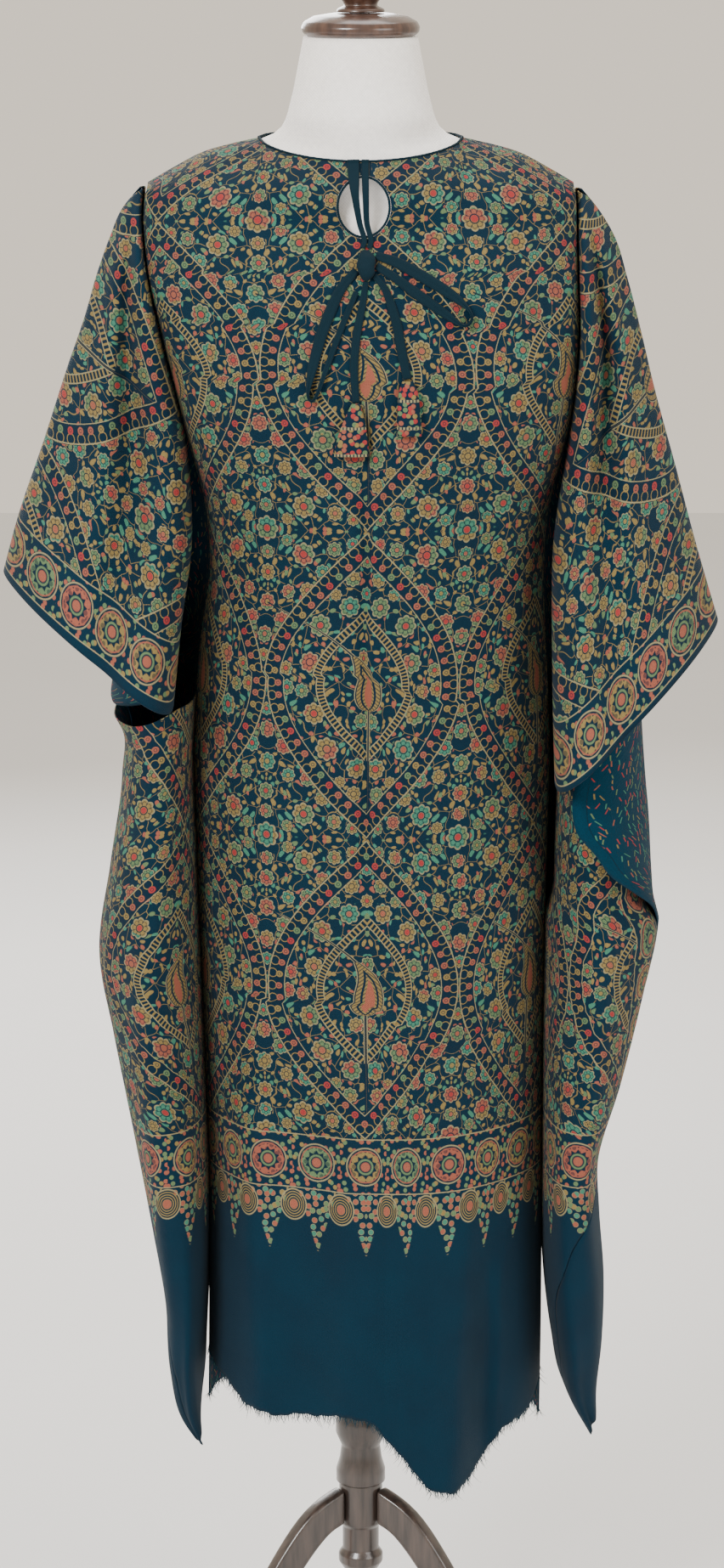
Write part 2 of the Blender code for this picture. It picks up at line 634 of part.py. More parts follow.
def body_levels(end):
    """The heights of one of the body's columns, down to its end at the hem."""
    last = BODY_RINGS[-2].height
    return [ring.height for ring in BODY_RINGS[:-1]] + [(last + end) / 2, end]


def body_grid(front):
    """The mid-surface of the front or back of the body, from the shoulder to the hem."""
    hem = FRONT_HEM if front else BACK_HEM
    folds = FRONT_FOLDS if front else BACK_FOLDS
    angles = body_angles()
    top = shoulder_row(SHOULDER_HALF * np.sin(angles), front)
    chest = body_row(BODY_RINGS[0].height, angles, front)
    grid = [top, *yoke_rows(top, chest, angles)]
    across = body_row(WING_HEM, angles, front)[:, 0]
    ends = np.interp(across, [p.place for p in hem], [p.height for p in hem])
    for heights in zip(*(body_levels(end) for end in ends)):
        row = []
        for angle, height in zip(angles, heights):
            point = body_row(height, np.array([angle]), front)[0]
            point[1] -= fold_push(point[0], height, folds)
            row.append(point)
        grid.append(np.array(row))
    grid = np.array(grid)
    grid[:, :, 1] *= -1 if front else 1
    return grid


def keyhole_line(grow, count):
    """The keyhole's outline, seen from the front, moved out by grow."""
    angles = np.linspace(0, 2 * np.pi, count, endpoint=False)
    wide = (KEYHOLE_HALF_WIDTH + grow) * np.sin(angles)
    tall = (KEYHOLE_HALF_HEIGHT + grow) * np.cos(angles)
    return np.stack([KEYHOLE_X + wide, KEYHOLE_HEIGHT - tall], axis=1)


def cut_keyhole(panel, count=28):
    """Cut the keyhole through the front, below the neck edge."""
    outline = keyhole_line(0.0, count)
    rings = [[(x, y, z) for x, z in outline] for y in (-0.150, -0.040)]
    tool = loft("keyhole_cutter", rings, "shawl_cloth")
    tool.hide_render = True
    tool.display_type = "WIRE"
    cut = panel.modifiers.new(tool.name, "BOOLEAN")
    cut.operation = "DIFFERENCE"
    cut.object = tool


def panel_at(grid, x, height):
    """Where a body panel's mid-surface stands, front to back, at a place on it."""
    lines = grid.transpose(1, 0, 2)
    across = [np.interp(-height, -line[:, 2], line[:, 0]) for line in lines]
    ahead = [np.interp(-height, -line[:, 2], line[:, 1]) for line in lines]
    return float(np.interp(x, across, ahead))


def ring_tube(name, line, finish, half=BINDING_HALF):
    """A slim square binding along a closed line."""
    line = np.asarray(line, float)
    made = bmesh.new()
    run = np.roll(line, -1, axis=0) - np.roll(line, 1, axis=0)
    run /= np.linalg.norm(run, axis=1)[:, None]
    rings = []
    for point, along in zip(line, run):
        side = np.cross(along, (0, 0, 1))
        side /= np.linalg.norm(side)
        rise = np.cross(side, along)
        corners = ((1, 1), (-1, 1), (-1, -1), (1, -1))
        rings.append([made.verts.new(point + half * (a * side + b * rise)) for a, b in corners])
    for i, ring in enumerate(rings):
        after = rings[(i + 1) % len(rings)]
        for j in range(4):
            k = (j + 1) % 4
            made.faces.new((ring[j], after[j], after[k], ring[k]))
    return add_object(name, finish_mesh(name, made), finish)


def build_bindings(front, back):
    """The binding round the neck edge and the one round the keyhole."""
    lift = BINDING_HALF + BINDING_GAP
    ahead = [p for p in front[0] if abs(p[0]) <= NECK_HALF + 1e-6]
    behind = [p for p in back[0][::-1] if abs(p[0]) < NECK_HALF - 1e-6]
    line = np.array(ahead + behind)
    line[:, 1] *= np.where(neck_sag(line[:, 0]) < 0.01, 0.0, 1.0)
    line[:, 2] += lift + WALL / 2
    ring_tube("neck_binding", line, "tie_cloth")
    keyhole_ring("keyhole_binding", front, "tie_cloth")


def keyhole_ring(name, front, finish, half=KEYHOLE_BINDING_HALF, count=28):
    """A slim binding just inside the keyhole, as deep as the cloth around it."""
    outer = keyhole_line(-BINDING_GAP, count)
    inner = keyhole_line(-BINDING_GAP - 2 * half, count)
    made = bmesh.new()
    rings = []
    for wide, tight in zip(outer, inner):
        corners = ((wide, half), (wide, -half), (tight, -half), (tight, half))
        ring = [(x, panel_at(front, x, z) + deep, z) for (x, z), deep in corners]
        rings.append([made.verts.new(corner) for corner in ring])
    for i, ring in enumerate(rings):
        after = rings[(i + 1) % len(rings)]
        for j in range(4):
            k = (j + 1) % 4
            made.faces.new((ring[j], ring[k], after[k], after[j]))
    return add_object(name, finish_mesh(name, made), finish)


def strip_rings(points, count, front):
    """Rings of four corners along a tie, each as far ahead of the front as it needs."""
    keys = np.linspace(0.0, 1.0, len(points))
    at = np.linspace(0.0, 1.0, count)
    x, z, half, lift = (smooth_read(keys, [p[k] for p in points], at) for k in range(4))
    run = np.stack([np.gradient(x), np.gradient(z)], axis=1)
    run /= np.linalg.norm(run, axis=1)[:, None]
    rings = []
    for i in range(count):
        ring = []
        for a, b in ((1, 1), (1, -1), (-1, -1), (-1, 1)):
            across = x[i] - a * run[i, 1] * half[i]
            height = z[i] + a * run[i, 0] * half[i]
            back = panel_at(front, across, height) - WALL / 2 - TIE_GAP
            ring.append((across, back - lift[i] * (1 - b), height))
        rings.append(ring)
    return rings


def oval_stack(name, rings, top, front, finish, sides=10):
    """A solid through a stack of ovals that hang ahead of the front."""
    angles = np.linspace(0, 2 * np.pi, sides, endpoint=False)
    stack = []
    for ring in rings:
        z = top - ring.drop
        y = panel_at(front, ring.x, z) - WALL / 2 - TIE_GAP - ring.depth
        across = ring.x + ring.half * np.cos(angles)
        stack.append(np.stack([across, y + ring.depth * np.sin(angles), np.full(sides, z)], axis=1))
    return loft(name, stack, finish)


def build_ties(front):
    """The straps, the knot, the bow, the tails and their tassels."""
    for name, points in TIES.items():
        count = TIE_RINGS.get(name, STRAIGHT_TIE_RINGS)
        loft(name, strip_rings(points, count, front), "tie_cloth", smooth=False)
    oval_stack("tie_knot", KNOT, KNOT_TOP, front, "tie_cloth")
    oval_stack("tassel_left", TASSEL_LEFT, TASSEL_LEFT_TOP, front, "shawl_cloth")
    oval_stack("tassel_right", TASSEL_RIGHT, TASSEL_RIGHT_TOP, front, "shawl_cloth")


def build_fray(name, hem):
    """A narrow strip below a hem, with a four-sided lock of threads under each stretch of it."""
    spots = []
    for a, b in zip(hem[:-1], hem[1:]):
        spots += [a + (b - a) * k / FRAY_LOCKS_A_COLUMN for k in range(FRAY_LOCKS_A_COLUMN)]
    spots = np.array(spots + [hem[-1]])
    run = np.gradient(spots, axis=0)
    run /= np.linalg.norm(run, axis=1)[:, None]
    made = bmesh.new()
    stations = []
    for spot, along in zip(spots, run):
        deep = np.cross(along, (0, 0, 1))
        deep *= WALL / 2 / np.linalg.norm(deep)
        down = np.array((0, 0, -1.0)) + along * along[2]
        down /= np.linalg.norm(down)
        upper = spot + down * FRAY_GAP
        lower = upper + down * FRAY_BACKING
        corners = (upper + deep, upper - deep, lower - deep, lower + deep)
        stations.append([made.verts.new(c) for c in corners])
    for i, (a, b) in enumerate(zip(stations[:-1], stations[1:])):
        for j in (0, 1, 3):
            k = (j + 1) % 4
            made.faces.new((a[j], b[j], b[k], a[k]))
        root = (a[2], b[2], b[3], a[3])
        length = FRAY_LENGTH * (1.0 + 0.25 * np.sin(2.4 * i))
        tip = np.mean([v.co for v in root], axis=0) - (0, 0, length)
        point = made.verts.new(tip)
        for j in range(4):
            made.faces.new((root[j], root[(j + 1) % 4], point))
    made.faces.new(stations[0])
    made.faces.new(stations[-1][::-1])
    return add_object(name, finish_mesh(name, made, smooth=False), "shawl_cloth")


def fold_reach(side, height):
    """How far out a sleeve's shoulder fold stands at a height."""
    return float(column(side.fold, "height", "reach", height))


def body_side(field, height):
    """A side edge of the body, which runs straight between the body's own levels."""
    rings = BODY_RINGS[::-1]
    return float(np.interp(height, [r.height for r in rings], [getattr(r, field) for r in rings]))


def stitch_reach(side, height):
    """The body's side edge at a height, as a distance out from the axis."""
    return body_side(side.name, height)


def shared_levels(high, low, own, gap=LEVEL_GAP):
    """Heights from high to low: the body's levels, and a table's own that are clear of them."""
    body = [r.height for r in BODY_RINGS if low + gap < r.height < high - gap]
    extra = [h for h in own if low + gap < h < high - gap and all(abs(h - b) > gap for b in body)]
    return [high, *sorted(body + extra, reverse=True), low]


def sleeve_row(side, t, columns):
    """One row of the sleeve front, from its near end to the fold."""
    read = row_between(side.sleeve, t)
    swing = np.linspace(0.0, np.pi, 60)
    out = (1 - np.cos(swing)) / 2
    outer = fold_reach(side, read.far)
    reach = read.inner + (outer - read.inner) * out
    height = read.near + (read.far - read.near) * out
    bulge = read.depth * np.sin(swing) ** 0.65 * (1 - 0.45 * out)
    crease = read.trough * np.exp(-(((out - 0.36) / 0.16) ** 2))
    ahead = read.inner_back * (1 - out) + FOLD_GAP + bulge - crease
    return resample(np.stack([reach, -ahead, height], axis=1), columns)


def sleeve_front_grid(side, columns=12, rows=15):
    """The mid-surface of the sleeve front, from the shoulder to the mouth rim."""
    return [sleeve_row(side, t, columns) for t in np.linspace(0.0, 1.0, rows)]


def wing_ring(side, height, inset=0.0):
    """The wing's ring at a height, from the stitch line round the front and back to it."""
    ring = row_at(side.wing, "height", max(height, side.wing[-1].height))
    inner = stitch_reach(side, max(height, WING_HEM)) + STITCH_STEP + ring.ease
    swing = np.linspace(0.0, 2 * np.pi, 145)
    out = (1 - np.cos(swing)) / 2
    depth = np.where(swing < np.pi, ring.front - inset, ring.back - inset)
    swell = np.sign(np.sin(swing)) * np.abs(np.sin(swing)) ** 0.75
    reach = inner + inset * 0.5 + (ring.outer - inner - inset * 1.5) * out
    start = ease(0.0, 0.25, out) * ring.middle
    return np.stack([reach, -start - depth * swell], axis=1), ring.seam / 360


def part_line(line, outwards):
    """A stretch of ring with its two ends drawn back from the edges it is sewn to."""
    line = line.copy()
    line[0, 1] += outwards * SEAM_GAP / 2
    back = line[-2] - line[-1]
    line[-1] += back / np.linalg.norm(back) * SEAM_GAP * 0.7
    return line


def wing_front_line(side, height, columns):
    """The front layer of the wing at a height, from the stitch line to the seam."""
    low = side.rim[-1].height
    inset = side.inset * ease(low - 0.004, low + 0.030, height)
    line, seam = wing_ring(side, height, inset)
    last = max(int(seam * 144), 3)
    return resample(part_line(line[: last + 1], -1), columns)


def wing_back_line(side, height, columns):
    """The back layer of the wing at a height, from the stitch line to the seam."""
    line, seam = wing_ring(side, height)
    first = min(int(seam * 144) + 1, 141)
    return resample(part_line(line[first:][::-1], 1), columns)


def wing_ends(side, columns):
    """The lower edge of a wing layer: high by the stitch line and lowest at the corner."""
    along = np.linspace(0.0, 1.0, columns)
    return WING_HEM + (side.wing[-1].height - WING_HEM) * along**1.2


def wing_levels(side):
    """The heights of the wing's rows at its corner, from the end of the mouth down."""
    top, tip = side.rim[-1].height, side.wing[-1].height
    return shared_levels(top, tip, [ring.height for ring in side.wing])


def wing_rows(side, line_at, columns):
    """The rows of one wing layer below the mouth: level, and then bent towards its lower edge."""
    tip = side.wing[-1].height
    rows = []
    for level in wing_levels(side):
        share = max(WING_LEVEL - level, 0.0) / (WING_LEVEL - tip)
        row = []
        for j, end in enumerate(wing_ends(side, columns)):
            height = level if share == 0.0 else WING_LEVEL + (end - WING_LEVEL) * share
            row.append((*line_at(side, height, columns)[j], height))
        rows.append(row)
    return rows


def wing_front_grid(side, columns=13):
    """The mid-surface of the wing's front layer, from inside the mouth to the corner."""
    below = wing_rows(side, wing_front_line, columns)[side.skip_rows :]
    along = np.linspace(0.0, 1.0, columns)
    tops = side.front_cap + (side.front_top - side.front_cap) * (1 - ease(0.28, 0.50, along))
    above = []
    for share in np.linspace(0.0, 1.0, side.inner_rows, endpoint=False):
        row = []
        for j, top in enumerate(tops):
            height = top + (below[0][j][2] - top) * share
            row.append((*wing_front_line(side, height, columns)[j], height))
        above.append(row)
    return above + below


def sleeve_back_line(side, height, columns):
    """The back layer at a height above the sleeve's tip, from the stitch line to the fold."""
    swing = np.linspace(0.0, np.pi, 73)
    out = (1 - np.cos(swing)) / 2
    outer = fold_reach(side, height)
    depth = float(column(BACK_DEPTH, "height", "reach", height))
    body = min(height, BODY_RINGS[0].height)
    edge = max(body_side("edge", body), SEAM_GAP / 2) * ease(1.354, 1.318, height)
    inner = min(stitch_reach(side, body) + STITCH_STEP, outer - 0.004)
    reach = inner + (outer - inner) * out
    behind = edge * (1 - out) + FOLD_GAP + depth * np.sin(swing) ** 0.75 * (1 - 0.35 * out)
    return resample(np.stack([reach, behind], axis=1), columns)


def mouth_back_line(side, height, columns):
    """The back layer at a height in the mouth, from the stitch line to its edge in front."""
    swing = np.linspace(0.0, np.pi, 73)
    out = (1 - np.cos(swing)) / 2
    tip, low = side.fold[-1].height, side.rim[-1].height
    rim = row_at(side.rim, "height", height)
    inner = stitch_reach(side, height) + STITCH_STEP
    edge = max(body_side("edge", height), SEAM_GAP / 2)
    narrow = 1 - 0.35 * out * ease(low, tip, height)
    reach = inner + (rim.flank - inner) * out
    behind = edge * (1 - out) + FOLD_GAP + rim.back * np.sin(swing) ** 0.75 * narrow
    turn = np.linspace(0.0, np.pi / 2, 24)[1:]
    lap = rim.flank + (rim.edge - rim.flank) * (1 - np.cos(turn))
    ahead = -rim.ahead * np.sin(turn)
    flank = np.stack([reach, behind], axis=1)
    return resample(np.concatenate([flank, np.stack([lap, ahead], axis=1)]), columns)


def back_grid(side, columns=15):
    """The mid-surface of the back layer of sleeve and wing."""
    tip, low = side.fold[-1].height, side.rim[-1].height
    grid = []
    for height in shared_levels(side.back_top, tip, ())[:-1]:
        grid.append([(*p, height) for p in sleeve_back_line(side, height, columns)])
    for height in shared_levels(tip, low, [rim.height for rim in side.rim])[:-1]:
        grid.append([(*p, height) for p in mouth_back_line(side, height, columns)])
    return grid + wing_rows(side, wing_back_line, columns)


def mirrored(grid, sign):
    """A grid with its reach turned to the side's own direction."""
    grid = np.array(grid, float)
    grid[:, :, 0] *= sign
    return grid


Side = namedtuple(
    "Side",
    "name sign fold sleeve wing rim front_top front_cap back_top inner_rows skip_rows inset",
)
SIDES = (
    Side(
        "left", -1, LEFT_FOLD, LEFT_SLEEVE, LEFT_WING, LEFT_RIM, 0.9255, 0.9125, 1.3480, 1, 1, 0.0
    ),
    Side(
        "right", 1, RIGHT_FOLD, RIGHT_SLEEVE, RIGHT_WING, RIGHT_RIM, 0.9250, 0.8900, 1.3465, 5, 0, 0.014
    ),
)


def build_sleeves_and_wings():
    """The cloth outside the stitch lines, on both sides."""
    for side in SIDES:
        sheet(f"sleeve_front_{side.name}", mirrored(sleeve_front_grid(side), side.sign))
        sheet(f"wing_front_{side.name}", mirrored(wing_front_grid(side), side.sign))
        sheet(f"sleeve_wing_back_{side.name}", mirrored(back_grid(side), side.sign))


def build_body():
    """The front and back of the body, with their bindings, ties and frayed hems."""
    front, back = body_grid(True), body_grid(False)
    cut_keyhole(sheet("front_panel", front))
    sheet("back_panel", back)
    build_bindings(front, back)
    build_ties(front)
    build_fray("hem_fray_front", front[-1])
    build_fray("hem_fray_back", back[-1])


def build_leg(name, degrees):
    """One leg, from the hub's side down to a flat foot."""
    line = np.array([(p.reach, p.height) for p in LEG_POINTS])
    run = np.gradient(line, axis=0)
    run[0], run[-1] = (1.0, 0.0), (0.0, -1.0)
    run /= np.linalg.norm(run, axis=1)[:, None]
    turn = np.radians(degrees)
    out, side = np.array((np.cos(turn), np.sin(turn))), np.array((-np.sin(turn), np.cos(turn)))
    rings = []
    for point, along in zip(LEG_POINTS, run):
        ring = []
        for a, b in LEG_CORNERS:
            reach = point.reach - b * point.rise * along[1]
            height = point.height + b * point.rise * along[0]
            ring.append((*(reach * out + a * point.half * side), height))
        rings.append(ring)
    return loft(name, rings, "stand_wood")


def build_form_and_stand():
    """The limbless form, its cap and finial, and the turned stand."""
    loft("form_torso", form_rings(), "form_cloth")
    turned("neck_cap", CAP_PROFILE, "dark_wood", 24)
    turned("finial", FINIAL_PROFILE, "dark_wood", 16)
    turned("column", COLUMN_PROFILE, "stand_wood", 20)
    turned("hub", HUB_PROFILE, "stand_wood", 24)
    for name, degrees in LEG_ANGLES.items():
        build_leg(name, degrees)


def build():
    """Build everything about the stand's axis."""
    clear_scene()
    axis = bpy.data.objects.new("stand_axis", None)
    axis.location = (0.0, DEPTH_CENTRE, 0.0)
    bpy.context.scene.collection.objects.link(axis)
    build_form_and_stand()
    build_body()
    build_sleeves_and_wings()


build()
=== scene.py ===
"""Looks of an embroidered shawl kaftan on a limbless dress form with a turned stand.

The cloth is made again here, finer, from the kaftan's own measures, with its creases, its reverse
side, its embroidery and its frayed hems. The stand is turned and shaped.
Metres, +Z up, -Y is the front, and the floor is at zero.
"""

import logging
import math
from collections.abc import Sequence
from dataclasses import dataclass
from enum import Enum
from typing import NamedTuple

import bpy
import numpy as np
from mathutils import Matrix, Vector

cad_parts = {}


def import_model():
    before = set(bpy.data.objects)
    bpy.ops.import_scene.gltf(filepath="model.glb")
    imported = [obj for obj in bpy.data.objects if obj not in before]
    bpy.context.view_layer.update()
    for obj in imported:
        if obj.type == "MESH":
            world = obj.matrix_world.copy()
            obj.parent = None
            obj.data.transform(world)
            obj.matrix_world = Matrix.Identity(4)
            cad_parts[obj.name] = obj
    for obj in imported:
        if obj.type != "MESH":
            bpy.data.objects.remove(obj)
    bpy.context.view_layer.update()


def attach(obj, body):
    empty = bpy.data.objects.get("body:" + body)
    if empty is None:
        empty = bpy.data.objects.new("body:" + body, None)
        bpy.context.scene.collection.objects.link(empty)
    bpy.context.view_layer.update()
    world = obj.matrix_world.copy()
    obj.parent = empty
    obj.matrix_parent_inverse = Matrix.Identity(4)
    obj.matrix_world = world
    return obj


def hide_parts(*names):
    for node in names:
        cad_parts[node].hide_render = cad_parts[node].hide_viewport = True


LOG = logging.getLogger("kaftan")

WALL = 0.0010
SEAM_GAP = 0.0004
FOLD_GAP = 0.0006
STITCH_STEP = 0.0004
DEPTH_CENTRE = -0.0266
SHOULDER_HALF = 0.1751
NECK_HALF = 0.0840
NECK_BACK_HEIGHT = 1.3915
NECK_FRONT_HEIGHT = 1.3740
NECK_FRONT_DEPTH = 0.0660
NECK_BACK_DEPTH = 0.0600
WING_HEM = 0.3350
WING_LEVEL = 0.4100
WING_EVEN = 0.5600
KEYHOLE_X = 0.0024
KEYHOLE_HEIGHT = 1.3395
KEYHOLE_HALF_WIDTH = 0.0222
KEYHOLE_HALF_HEIGHT = 0.0248
TIE_GAP = 0.0009
SHAWL_HALF = 0.56
CLOTH_TOP = 1.45
LIP_COLUMNS = 20
YOKE_ROWS = 30
RING_STEPS = 288


def table(kind: type, *rows: tuple) -> tuple:
    """Make each row of numbers a row of the named kind."""
    return tuple(kind(*row) for row in rows)


class FormRing(NamedTuple):
    """One ring of the form, from its base to the top of its neck."""

    height: float
    half: float
    front: float
    back: float
    pinch: float


FORM_RINGS = table(
    FormRing,
    (0.6363, 0.1116, 0.078, 0.085, 1.0),
    (0.6395, 0.1217, 0.087, 0.093, 1.0),
    (0.651, 0.1272, 0.092, 0.098, 1.0),
    (0.7512, 0.13, 0.0965, 0.103, 1.0),
    (0.8747, 0.132, 0.098, 0.106, 1.0),
    (0.9561, 0.1225, 0.093, 0.095, 1.0),
    (1.0368, 0.1071, 0.082, 0.078, 1.0),
    (1.1067, 0.1155, 0.092, 0.082, 1.0),
    (1.1761, 0.1337, 0.106, 0.088, 1.0),
    (1.2351, 0.1431, 0.101, 0.086, 1.0),
    (1.284, 0.1534, 0.092, 0.08, 1.2),
    (1.3181, 0.16, 0.078, 0.068, 1.8),
    (1.3413, 0.1625, 0.066, 0.057, 2.2),
    (1.3539, 0.1595, 0.06, 0.053, 2.3),
    (1.3628, 0.1548, 0.057, 0.051, 2.4),
    (1.3756, 0.1305, 0.053, 0.049, 2.8),
    (1.3833, 0.1045, 0.051, 0.049, 3.2),
    (1.3881, 0.082, 0.051, 0.049, 2.6),
    (1.3953, 0.0668, 0.052, 0.05, 1.5),
    (1.4059, 0.0611, 0.0545, 0.0525, 1.0),
    (1.4289, 0.0552, 0.0515, 0.0505, 1.0),
    (1.4716, 0.047, 0.047, 0.047, 1.0),
)


class BodyRing(NamedTuple):
    """One level of the body: its side edges, how far they stand off, and its depth."""

    height: float
    left: float
    right: float
    edge: float
    front: float
    back: float


BODY_RINGS = table(
    BodyRing,
    (1.3229, 0.1779, 0.1769, 0.022, 0.085, 0.08),
    (1.284, 0.1739, 0.1773, 0.038, 0.104, 0.094),
    (1.2351, 0.1631, 0.1783, 0.044, 0.115, 0.1),
    (1.186, 0.1518, 0.1759, 0.04, 0.122, 0.101),
    (1.1365, 0.1409, 0.1685, 0.024, 0.121, 0.099),
    (1.0868, 0.1295, 0.1572, 0.006, 0.118, 0.098),
    (1.0368, 0.1259, 0.1532, 0.0005, 0.115, 0.1),
    (0.9764, 0.1333, 0.1547, 0.0005, 0.114, 0.106),
    (0.885, 0.141, 0.1595, 0.0005, 0.116, 0.114),
    (0.7925, 0.1393, 0.1579, 0.0005, 0.118, 0.116),
    (0.6468, 0.1349, 0.1561, 0.0005, 0.12, 0.117),
    (0.4986, 0.1309, 0.1564, 0.0005, 0.123, 0.118),
    (0.3696, 0.1318, 0.1566, 0.0005, 0.125, 0.118),
    (0.2386, 0.1338, 0.1556, 0.0005, 0.126, 0.118),
)


class FoldPoint(NamedTuple):
    """One point of a shoulder fold, or of the depth behind it."""

    reach: float
    height: float


SHOULDER_FOLD = table(
    FoldPoint,
    (0.0777, 1.3905),
    (0.1049, 1.3847),
    (0.1312, 1.377),
    (0.1556, 1.3642),
    (0.1751, 1.3529),
)
LEFT_FOLD = table(
    FoldPoint,
    (0.18, 1.351),
    (0.1958, 1.3326),
    (0.2068, 1.3083),
    (0.2179, 1.278),
    (0.2282, 1.2435),
    (0.2421, 1.2046),
    (0.2643, 1.1384),
    (0.2874, 1.0725),
    (0.2988, 1.0314),
)
RIGHT_FOLD = table(
    FoldPoint,
    (0.18, 1.35),
    (0.1968, 1.3297),
    (0.2083, 1.3109),
    (0.2204, 1.2745),
    (0.2325, 1.2294),
    (0.243, 1.1869),
    (0.2633, 1.1149),
    (0.2798, 1.0552),
    (0.2995, 0.9901),
)


class SleeveRow(NamedTuple):
    """One row of the sleeve front, from its near end to the fold."""

    near: float
    far: float
    inner: float
    inner_back: float
    depth: float
    trough: float


LEFT_SLEEVE = table(
    SleeveRow,
    (1.3481, 1.3423, 0.1801, 0.0005, 0.01, 0.0),
    (1.321, 1.3171, 0.1803, 0.02, 0.02, 0.002),
    (1.2821, 1.278, 0.1759, 0.038, 0.032, 0.008),
    (1.2204, 1.2046, 0.1628, 0.042, 0.05, 0.02),
    (1.1415, 1.1384, 0.1453, 0.026, 0.078, 0.026),
    (1.0618, 1.0968, 0.1406, 0.03, 0.096, 0.026),
    (0.9915, 1.0618, 0.1491, 0.056, 0.108, 0.02),
    (0.9288, 1.0314, 0.1551, 0.078, 0.118, 0.012),
)
RIGHT_SLEEVE = table(
    SleeveRow,
    (1.3462, 1.3413, 0.1791, 0.0005, 0.01, 0.0),
    (1.321, 1.3171, 0.1794, 0.02, 0.02, 0.002),
    (1.2821, 1.2745, 0.1796, 0.037, 0.034, 0.012),
    (1.2204, 1.2077, 0.1804, 0.042, 0.054, 0.024),
    (1.1415, 1.1477, 0.1724, 0.026, 0.08, 0.026),
    (1.0568, 1.0898, 0.1604, 0.034, 0.098, 0.022),
    (0.9561, 1.0368, 0.1594, 0.06, 0.11, 0.016),
    (0.8645, 0.9901, 0.1612, 0.082, 0.12, 0.01),
)


class WingRing(NamedTuple):
    """One ring of the wing and the angle at which its two layers meet."""

    height: float
    ease: float
    outer: float
    middle: float
    front: float
    back: float
    seam: float


LEFT_WING = table(
    WingRing,
    (0.9421, 0.0, 0.2085, 0.0, 0.092, 0.104, 196),
    (0.9165, 0.0, 0.2091, 0.0, 0.094, 0.106, 196),
    (0.9011, 0.0, 0.2008, 0.0, 0.095, 0.108, 198),
    (0.862, 0.0, 0.2008, 0.0, 0.098, 0.11, 200),
    (0.782, 0.0, 0.2119, 0.0, 0.103, 0.114, 202),
    (0.7044, 0.0, 0.2223, 0.0, 0.106, 0.118, 198),
    (0.6395, 0.0, 0.2114, 0.0, 0.108, 0.118, 192),
    (0.5651, 0.0, 0.1976, 0.0, 0.108, 0.114, 186),
    (0.463, 0.0, 0.1796, 0.0, 0.1, 0.104, 178),
    (0.3964, 0.001, 0.1687, 0.006, 0.086, 0.088, 150),
    (0.3371, 0.003, 0.1651, 0.02, 0.058, 0.06, 122),
    (0.2955, 0.003, 0.1551, 0.038, 0.026, 0.028, 112),
    (0.2704, 0.001, 0.1393, 0.046, 0.006, 0.006, 100),
)
RIGHT_WING = table(
    WingRing,
    (0.9304, 0.0, 0.2359, 0.0, 0.096, 0.108, 172),
    (0.8645, 0.0, 0.2398, 0.0, 0.099, 0.111, 170),
    (0.8117, 0.0, 0.2448, 0.0, 0.101, 0.114, 168),
    (0.7343, 0.0, 0.2532, 0.0, 0.104, 0.117, 160),
    (0.672, 0.0, 0.241, 0.0, 0.106, 0.118, 166),
    (0.5942, 0.0, 0.2227, 0.0, 0.108, 0.118, 172),
    (0.5245, 0.0, 0.2037, 0.0, 0.106, 0.112, 174),
    (0.4762, 0.0, 0.2053, 0.002, 0.1, 0.106, 104),
    (0.4173, 0.002, 0.2097, 0.008, 0.088, 0.092, 48),
    (0.3606, 0.009, 0.2082, 0.02, 0.064, 0.068, 42),
    (0.3159, 0.019, 0.2035, 0.036, 0.032, 0.036, 44),
    (0.2798, 0.041, 0.2045, 0.046, 0.006, 0.006, 60),
)


class RimPoint(NamedTuple):
    """One level of the back layer's free edge in the mouth."""

    height: float
    flank: float
    back: float
    edge: float
    ahead: float


LEFT_RIM = table(
    RimPoint,
    (1.0314, 0.298, 0.086, 0.2988, 0.0),
    (1.0167, 0.27, 0.092, 0.268, 0.012),
    (0.9966, 0.2385, 0.096, 0.2315, 0.028),
    (0.9669, 0.2018, 0.101, 0.1941, 0.05),
    (0.948, 0.2078, 0.103, 0.1744, 0.078),
    (0.9362, 0.2094, 0.104, 0.1675, 0.09),
    (0.9257, 0.2105, 0.105, 0.1896, 0.064),
    (0.9165, 0.2091, 0.106, 0.2076, 0.012),
)
RIGHT_RIM = table(
    RimPoint,
    (0.9901, 0.2987, 0.092, 0.2995, 0.0),
    (0.9744, 0.2716, 0.096, 0.2686, 0.015),
    (0.9561, 0.249, 0.101, 0.243, 0.034),
    (0.9304, 0.2359, 0.106, 0.2194, 0.062),
    (0.9003, 0.2373, 0.108, 0.1919, 0.09),
    (0.8747, 0.2392, 0.11, 0.1791, 0.103),
    (0.848, 0.2415, 0.112, 0.1744, 0.111),
    (0.8258, 0.2437, 0.113, 0.1796, 0.114),
    (0.8103, 0.2448, 0.114, 0.1928, 0.112),
    (0.788, 0.2459, 0.115, 0.2089, 0.106),
    (0.7724, 0.2468, 0.116, 0.2279, 0.094),
    (0.7559, 0.2478, 0.117, 0.2438, 0.07),
    (0.7343, 0.2532, 0.117, 0.2514, 0.04),
)
BACK_DEPTH = table(
    FoldPoint,
    (0.006, 1.351),
    (0.042, 1.3229),
    (0.06, 1.2791),
    (0.072, 1.2155),
    (0.08, 1.1365),
    (0.086, 1.0314),
    (0.092, 0.9901),
)


class Fold(NamedTuple):
    """One upright fold hung in the body."""

    place: float
    half: float
    depth: float
    start: float
    full: float


